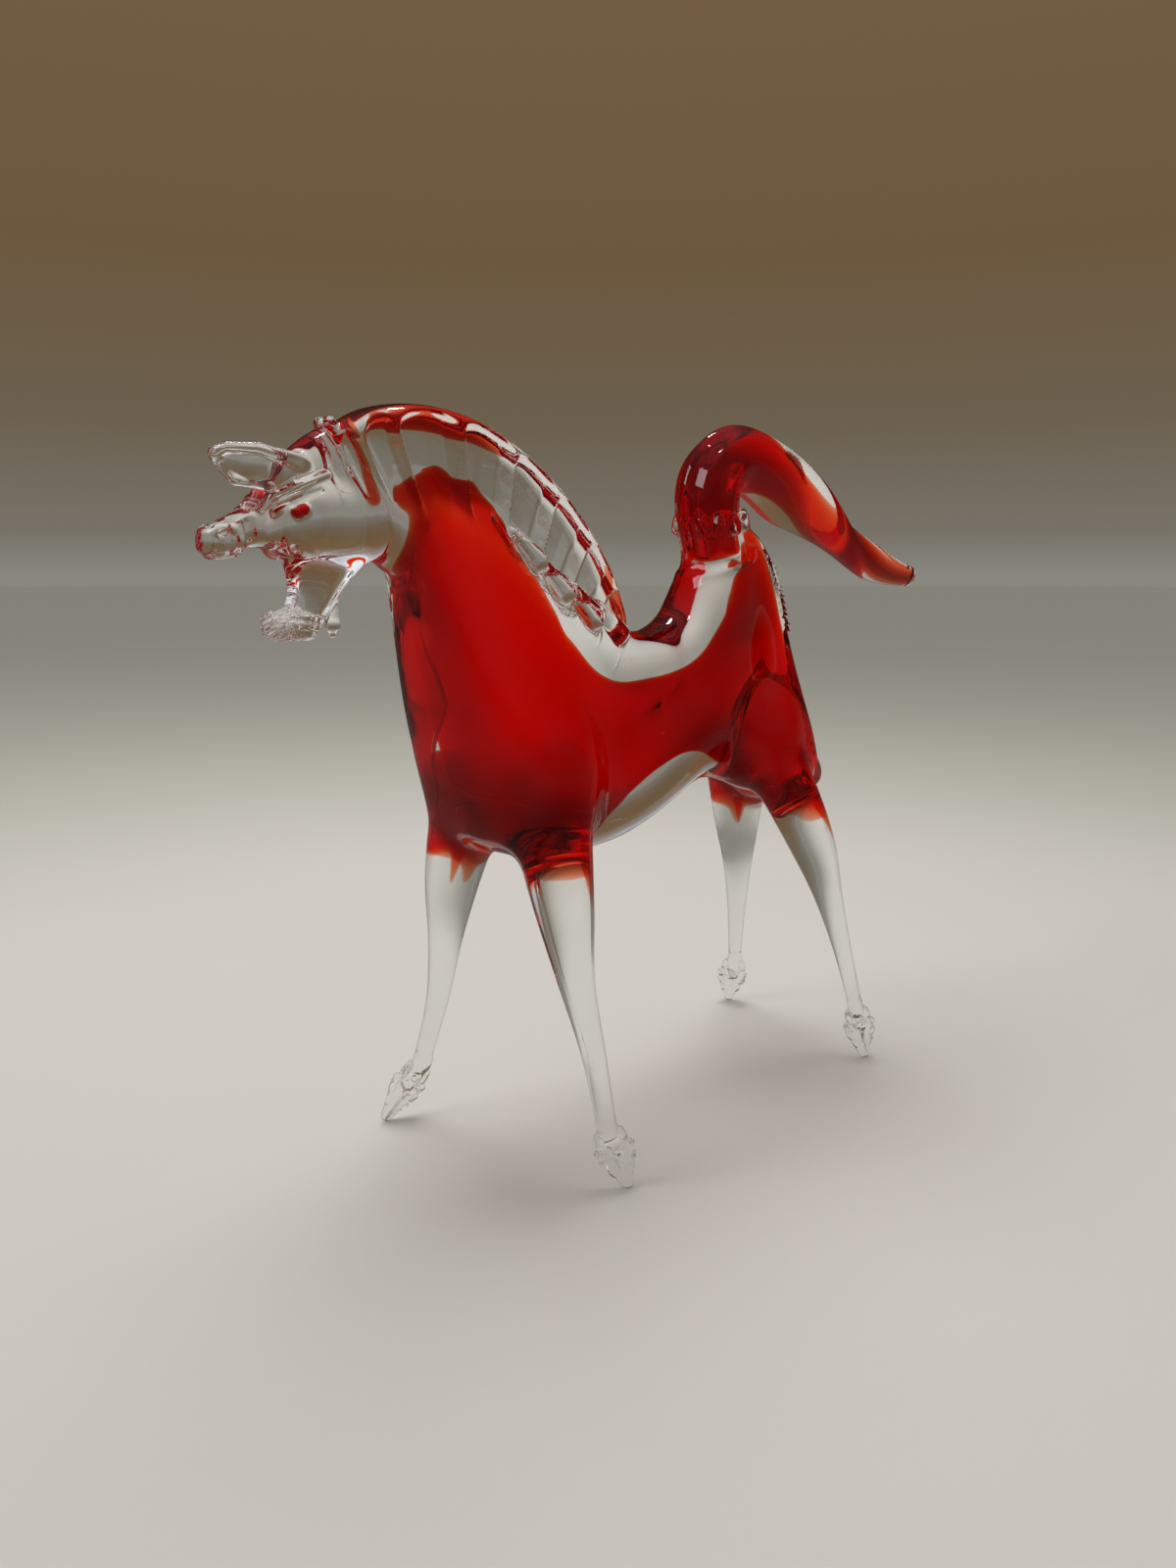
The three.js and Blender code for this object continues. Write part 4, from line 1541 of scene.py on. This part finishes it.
class Wire:
    """A socket in a node tree. Arithmetic on wires adds Math nodes, and add() puts in any other node."""

    def __init__(self, tree, socket=None):
        self.tree = tree
        self.socket = socket

    def add(self, kind, settings=None, inputs=None, out=0):
        """A new node with its settings and then its inputs, as the wire of one output."""
        node = self.tree.nodes.new(kind)
        for name, value in (settings or {}).items():
            if name == "stops":
                set_stops(node.color_ramp.elements, value)
            else:
                setattr(node, name, value)
        for name, value in (inputs or {}).items():
            if isinstance(value, Wire):
                self.tree.links.new(value.socket, node.inputs[name])
            else:
                node.inputs[name].default_value = value
        return Wire(self.tree, node.outputs[out] if len(node.outputs) else None)

    def mix(self, factor, first, second, blend="MIX"):
        """One colour blended towards another."""
        settings = {"data_type": "RGBA", "blend_type": blend}
        inputs = {MIX_FACTOR: factor, MIX_FROM: first, MIX_TO: second}
        return self.add("ShaderNodeMix", settings, inputs, out=MIX_RESULT)

    def noise(self, place, scale, detail):
        """A soft random pattern, from 0 to 1."""
        inputs = {"Vector": place, "Scale": scale, "Detail": detail}
        return self.add("ShaderNodeTexNoise", inputs=inputs, out="Fac")

    def _math(self, operation, first, second):
        return self.add("ShaderNodeMath", {"operation": operation}, {0: first, 1: second})

    def __add__(self, other):
        return self._math("ADD", self, other)

    __radd__ = __add__

    def __mul__(self, other):
        return self._math("MULTIPLY", self, other)

    __rmul__ = __mul__

    def __sub__(self, other):
        return self._math("SUBTRACT", self, other)

    def __rsub__(self, other):
        return self._math("SUBTRACT", other, self)


print("sums on wires: +, - and *")

# %% Empty materials


def new_material(name):
    """An empty material and the wire that starts its nodes."""
    material = bpy.data.materials.new(name)
    material.use_nodes = True
    material.node_tree.nodes.clear()
    return material, Wire(material.node_tree)


print("a material starts with no nodes and one wire")

# %% [markdown]
# ## Clear glass
# Hand-worked glass is never flat like a window pane. It has faint streaks where it was gathered twice and
# a slight ripple from the tools, and both bend what is seen through it. A plain glass shader looks like a
# machined lens, so a very low bump carries both, and the tint shifts a little along the streaks.

# %% Clear glass
GLASS_IOR = 1.5
# Scale and detail.
STREAKS = (90.0, 1.0)
RIPPLES = (260.0, 2.0)
RIPPLE_SHARE = 0.3
WAVE_STRENGTH = 0.12
WAVE_HEIGHT = 0.0002
POLISH = 0.004
CLEAR_TINTS = ((0.96, 0.975, 0.97, 1), (0.99, 0.99, 0.985, 1))

material, wire = new_material("clear_glass")
place = wire.add("ShaderNodeTexCoord", out="Object")
ripple = wire.noise(place, *RIPPLES)
streak = wire.noise(place, *STREAKS)
height = streak + RIPPLE_SHARE * ripple
bump = {"Strength": WAVE_STRENGTH, "Distance": WAVE_HEIGHT, "Height": height}
glass = wire.add(
    "ShaderNodeBsdfPrincipled",
    inputs={
        "Base Color": wire.mix(streak, *CLEAR_TINTS),
        "Roughness": POLISH * ripple,
        "IOR": GLASS_IOR,
        "Transmission Weight": 1.0,
        "Normal": wire.add("ShaderNodeBump", inputs=bump),
    },
)
wire.add("ShaderNodeOutputMaterial", inputs={"Surface": glass})
for piece in clear_pieces.values():
    piece.data.materials.append(material)
print("clear glass on", len(clear_pieces), "pieces")

# %% [markdown]
# ## Red glass
# Ruby glass is orange where it is thin and deep crimson where it is thick. A red surface would look the
# same everywhere, so the colour is in the depth: a volume takes green and blue out of the light as it
# goes. The red is fused into the clear and bends light no more than that does, so its own surface has an
# IOR of 1. The eyes are so small that they need denser glass to show as red at all.

# %% Red glass
# Colour left after one unit of depth, and units of depth in a metre.
RED_LEFT = (0.972, 0.34, 0.04, 1)
RED_DENSITY = 1700.0
EYE_DENSITY = 9000.0
# Scale and detail.
RED_STREAKS = (60.0, 2.0)
RED_TINTS = ((1, 0.97, 0.95, 1), (1, 0.9, 0.86, 1))


def red_glass(name, density):
    """Ruby glass with faint streaks, darker the longer the way of the light in it."""
    material, wire = new_material(name)
    place = wire.add("ShaderNodeTexCoord", out="Object")
    tint = wire.mix(wire.noise(place, *RED_STREAKS), *RED_TINTS)
    glass = wire.add(
        "ShaderNodeBsdfPrincipled",
        inputs={"Base Color": tint, "Roughness": 0.0, "IOR": 1.0, "Transmission Weight": 1.0},
    )
    depth = wire.add("ShaderNodeVolumeAbsorption", inputs={"Color": RED_LEFT, "Density": density})
    wire.add("ShaderNodeOutputMaterial", inputs={"Surface": glass, "Volume": depth})
    return material


ruby = red_glass("red_glass", RED_DENSITY)
eye_ruby = red_glass("red_eye_glass", EYE_DENSITY)
for node, piece in red_pieces.items():
    piece.data.materials.append(eye_ruby if node.startswith("eye") else ruby)
print("red glass on", len(red_pieces), "pieces")

# %% [markdown]
# ## Floor
# The horse stands on a plain pale table that fades into the dusk behind it. Glass has no colour of its
# own to show, so what stands round it decides how it looks. A curved paper sweep would do for one side
# only. A wide round floor serves from every side. Its colour has painted shade in it: it is painted a
# little darker away from the horse, where the light falls off. Glass also mirrors the floor as a grey
# veil, which would make the red milky, so mirror rays see the floor darker.

# %% Floor
FLOOR_RADIUS = 12.0
FLOOR_SIDES = 128
FLOOR_DROP = 0.0001

corners = [2 * math.pi * i / FLOOR_SIDES for i in range(FLOOR_SIDES)]
rim = [(FLOOR_RADIUS * math.cos(a), FLOOR_RADIUS * math.sin(a), 0) for a in corners]
floor_mesh = bpy.data.meshes.new("floor")
floor_mesh.from_pydata(rim, [], [list(range(FLOOR_SIDES))])
floor = bpy.data.objects.new("floor", floor_mesh)
floor.location.z = -FLOOR_DROP
bpy.context.scene.collection.objects.link(floor)
print("floor radius in m:", FLOOR_RADIUS)

# %% Floor paint
# Pale floor colour by distance from the horse, in metres, with painted shade that darkens it further out.
FLOOR_COLOUR_AND_PAINTED_SHADE = (
    (0.0, (0.53, 0.505, 0.455)),
    (0.2, (0.52, 0.495, 0.445)),
    (0.36, (0.46, 0.44, 0.38)),
    (0.55, (0.44, 0.42, 0.36)),
    (1.0, (0.46, 0.445, 0.39)),
)
BLACK = (0, 0, 0, 1)
MOTTLE = 0.05
# Scale and detail.
MOTTLE_GRAIN = (9.0, 5.0)
MIRROR_DIM = (0.2, 0.2, 0.2, 1)
FLOOR_ROUGHNESS = 0.85
FLOOR_SPECULAR = 0.1

material, wire = new_material("pale_floor")
place = wire.add("ShaderNodeTexCoord", out="Object")
distance = wire.add("ShaderNodeVectorMath", {"operation": "LENGTH"}, {0: place}, out="Value")
# Painted shade: the ramp paints the floor darker away from the horse.
shade = wire.add("ShaderNodeValToRGB", {"stops": FLOOR_COLOUR_AND_PAINTED_SHADE}, {"Fac": distance})
mottle = wire.noise(place, *MOTTLE_GRAIN)
shade = wire.mix(mottle * MOTTLE, shade, BLACK, "MULTIPLY")
glossy = wire.add("ShaderNodeLightPath", out="Is Glossy Ray")
through = wire.add("ShaderNodeLightPath", out="Is Transmission Ray")
shade = wire.mix(glossy * (1 - through), shade, MIRROR_DIM, "MULTIPLY")
paint = wire.add(
    "ShaderNodeBsdfPrincipled",
    inputs={"Base Color": shade, "Roughness": FLOOR_ROUGHNESS, "Specular IOR Level": FLOOR_SPECULAR},
)
wire.add("ShaderNodeOutputMaterial", inputs={"Surface": paint})
floor_mesh.materials.append(material)
print("shades of the floor:", len(FLOOR_COLOUR_AND_PAINTED_SHADE))

# %% [markdown]
# ## Backdrop and room
# Behind the horse the room is dim and brown, and on the other sides it has plain pale walls. Boxes could
# stand there, but the world does it without any mesh. What the eye, a mirror or the glass sees is the
# backdrop, and what lights the floor is a plain even room. Mirror rays see all of it dimmer, as they do
# the floor.

# %% Backdrop
# Shades by the sine of the height above the horizon.
BACKDROP_SHADES = (
    (0.0, (0.25, 0.245, 0.215)),
    (0.035, (0.185, 0.168, 0.138)),
    (0.12, (0.15, 0.118, 0.078)),
    (0.24, (0.15, 0.098, 0.049)),
    (0.42, (0.17, 0.112, 0.054)),
    (0.62, (0.32, 0.30, 0.28)),
    (0.9, (0.92, 0.95, 1.0)),
)

world = bpy.data.worlds.new("studio")
bpy.context.scene.world = world
world.use_nodes = True
world.node_tree.nodes.clear()
wire = Wire(world.node_tree)
direction = wire.add("ShaderNodeTexCoord", out="Generated")
height = wire.add("ShaderNodeSeparateXYZ", inputs={0: direction}, out="Z")
backdrop = wire.add("ShaderNodeValToRGB", {"stops": BACKDROP_SHADES}, {"Fac": height})
print("shades of the backdrop:", len(BACKDROP_SHADES))

# %% Walls
WALLS = (0.42, 0.41, 0.39, 1)
# How far round from the backdrop's middle the walls begin and are in full, as cosines.
WALLS_BEGIN = 0.35
WALLS_FULL = -0.35
# Sine of the height above the horizon at which the walls are in full.
WALLS_RISE = 0.14
LEVEL = (1, 1, 0)

flat_way = wire.add("ShaderNodeVectorMath", {"operation": "MULTIPLY"}, {0: direction, 1: LEVEL})
flat_way = wire.add("ShaderNodeVectorMath", {"operation": "NORMALIZE"}, {0: flat_way})
middle = (math.cos(CAMERA_HEADING), math.sin(CAMERA_HEADING), 0)
ahead = wire.add("ShaderNodeVectorMath", {"operation": "DOT_PRODUCT"}, {0: flat_way, 1: middle}, out="Value")
turned = (WALLS_BEGIN - ahead) * (1 / (WALLS_BEGIN - WALLS_FULL))
walls = wire.add("ShaderNodeClamp", inputs={"Value": turned})
rise = wire.add("ShaderNodeClamp", inputs={"Value": height * (1 / WALLS_RISE)})
backdrop = wire.mix(walls * rise, backdrop, WALLS, "LIGHTEN")
print("backdrop's middle:", [round(part, 2) for part in middle])

# %% What each ray sees
ROOM_LIGHT = (0.54, 0.53, 0.52, 1)
SHEEN_DIM = 0.8
RAYS = ("Camera", "Glossy", "Transmission")

eye_ray, mirror_ray, glass_ray = (wire.add("ShaderNodeLightPath", out=f"Is {kind} Ray") for kind in RAYS)
seen = wire.add("ShaderNodeClamp", inputs={"Value": eye_ray + mirror_ray + glass_ray})
light = wire.mix(seen, ROOM_LIGHT, backdrop)
light = wire.mix(SHEEN_DIM * (mirror_ray * (1 - glass_ray)), light, BLACK)
shine = wire.add("ShaderNodeBackground", inputs={"Color": light})
wire.add("ShaderNodeOutputWorld", inputs={"Surface": shine})
print("room light:", ROOM_LIGHT[:3])

# %% [markdown]
# ## Softboxes
# Windows give glass its life: they show as bright bars on every curve. A large lamp high up lights the
# floor softly, and one at the left of the picture gives the shadow its direction. A large lamp would also
# show as a large white patch, so the high one is hidden from mirror rays, and a thin one in the same
# place draws the bar instead. None of them shows straight through the glass.

# %% Softboxes
# Rows of place, width, height and power, whether a box lights what is matt, and whether it shows as a glint.
SOFTBOXES = {
    "top_window": ((0.08, 0.12, 0.62), 0.36, 0.36, 2.8, True, False),
    "left_window": ((-0.80, 0.30, 0.70), 0.40, 0.50, 2.6, True, True),
    "thin_window": ((0.08, 0.12, 0.62), 0.08, 0.50, 2.2, False, True),
}
WINDOW_COLOUR = (0.93, 0.95, 1.0)
HORSE_MIDDLE = Vector((0, 0, 0.075))

for name, (at, width, height, power, lights, shows) in SOFTBOXES.items():
    lamp_data = bpy.data.lights.new(name, "AREA")
    lamp_data.shape = "RECTANGLE"
    lamp_data.size = width
    lamp_data.size_y = height
    lamp_data.energy = power
    lamp_data.color = WINDOW_COLOUR
    lamp = bpy.data.objects.new(name, lamp_data)
    lamp.location = at
    lamp.visible_transmission = False
    lamp.visible_diffuse = lights
    lamp.visible_glossy = shows
    lamp.rotation_euler = (HORSE_MIDDLE - lamp.location).to_track_quat("-Z", "Y").to_euler()
    bpy.context.scene.collection.objects.link(lamp)
print("softboxes:", len(SOFTBOXES))

# %% [markdown]
# ## Light through glass
# A ray that enters this horse is turned at every wall and often goes round inside it before it comes out.
# Where a renderer gives up on such a ray it paints black, which looks like dirt in the glass. Higher
# limits clear most of those spots.

# %% Light through glass
GLASS_BOUNCES = 32
bpy.context.scene.cycles.max_bounces = GLASS_BOUNCES
bpy.context.scene.cycles.transmission_bounces = GLASS_BOUNCES
bpy.context.scene.cycles.glossy_bounces = GLASS_BOUNCES
bpy.context.scene.cycles.transparent_max_bounces = GLASS_BOUNCES
print("bounces:", GLASS_BOUNCES)

# %% [markdown]
# ## One rigid object
# Nothing on a glass horse moves, so every piece rides on the one body of the frame. Each stands for the
# CAD node of the same name, which stays behind it for collisions.

# %% Riding
for pieces, slot in ((clear_pieces, "clear_glass"), (red_pieces, "red_glass")):
    for node, piece in pieces.items():
        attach(piece, "root")
        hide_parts(node)
print("pieces on root:", len(clear_pieces) + len(red_pieces))
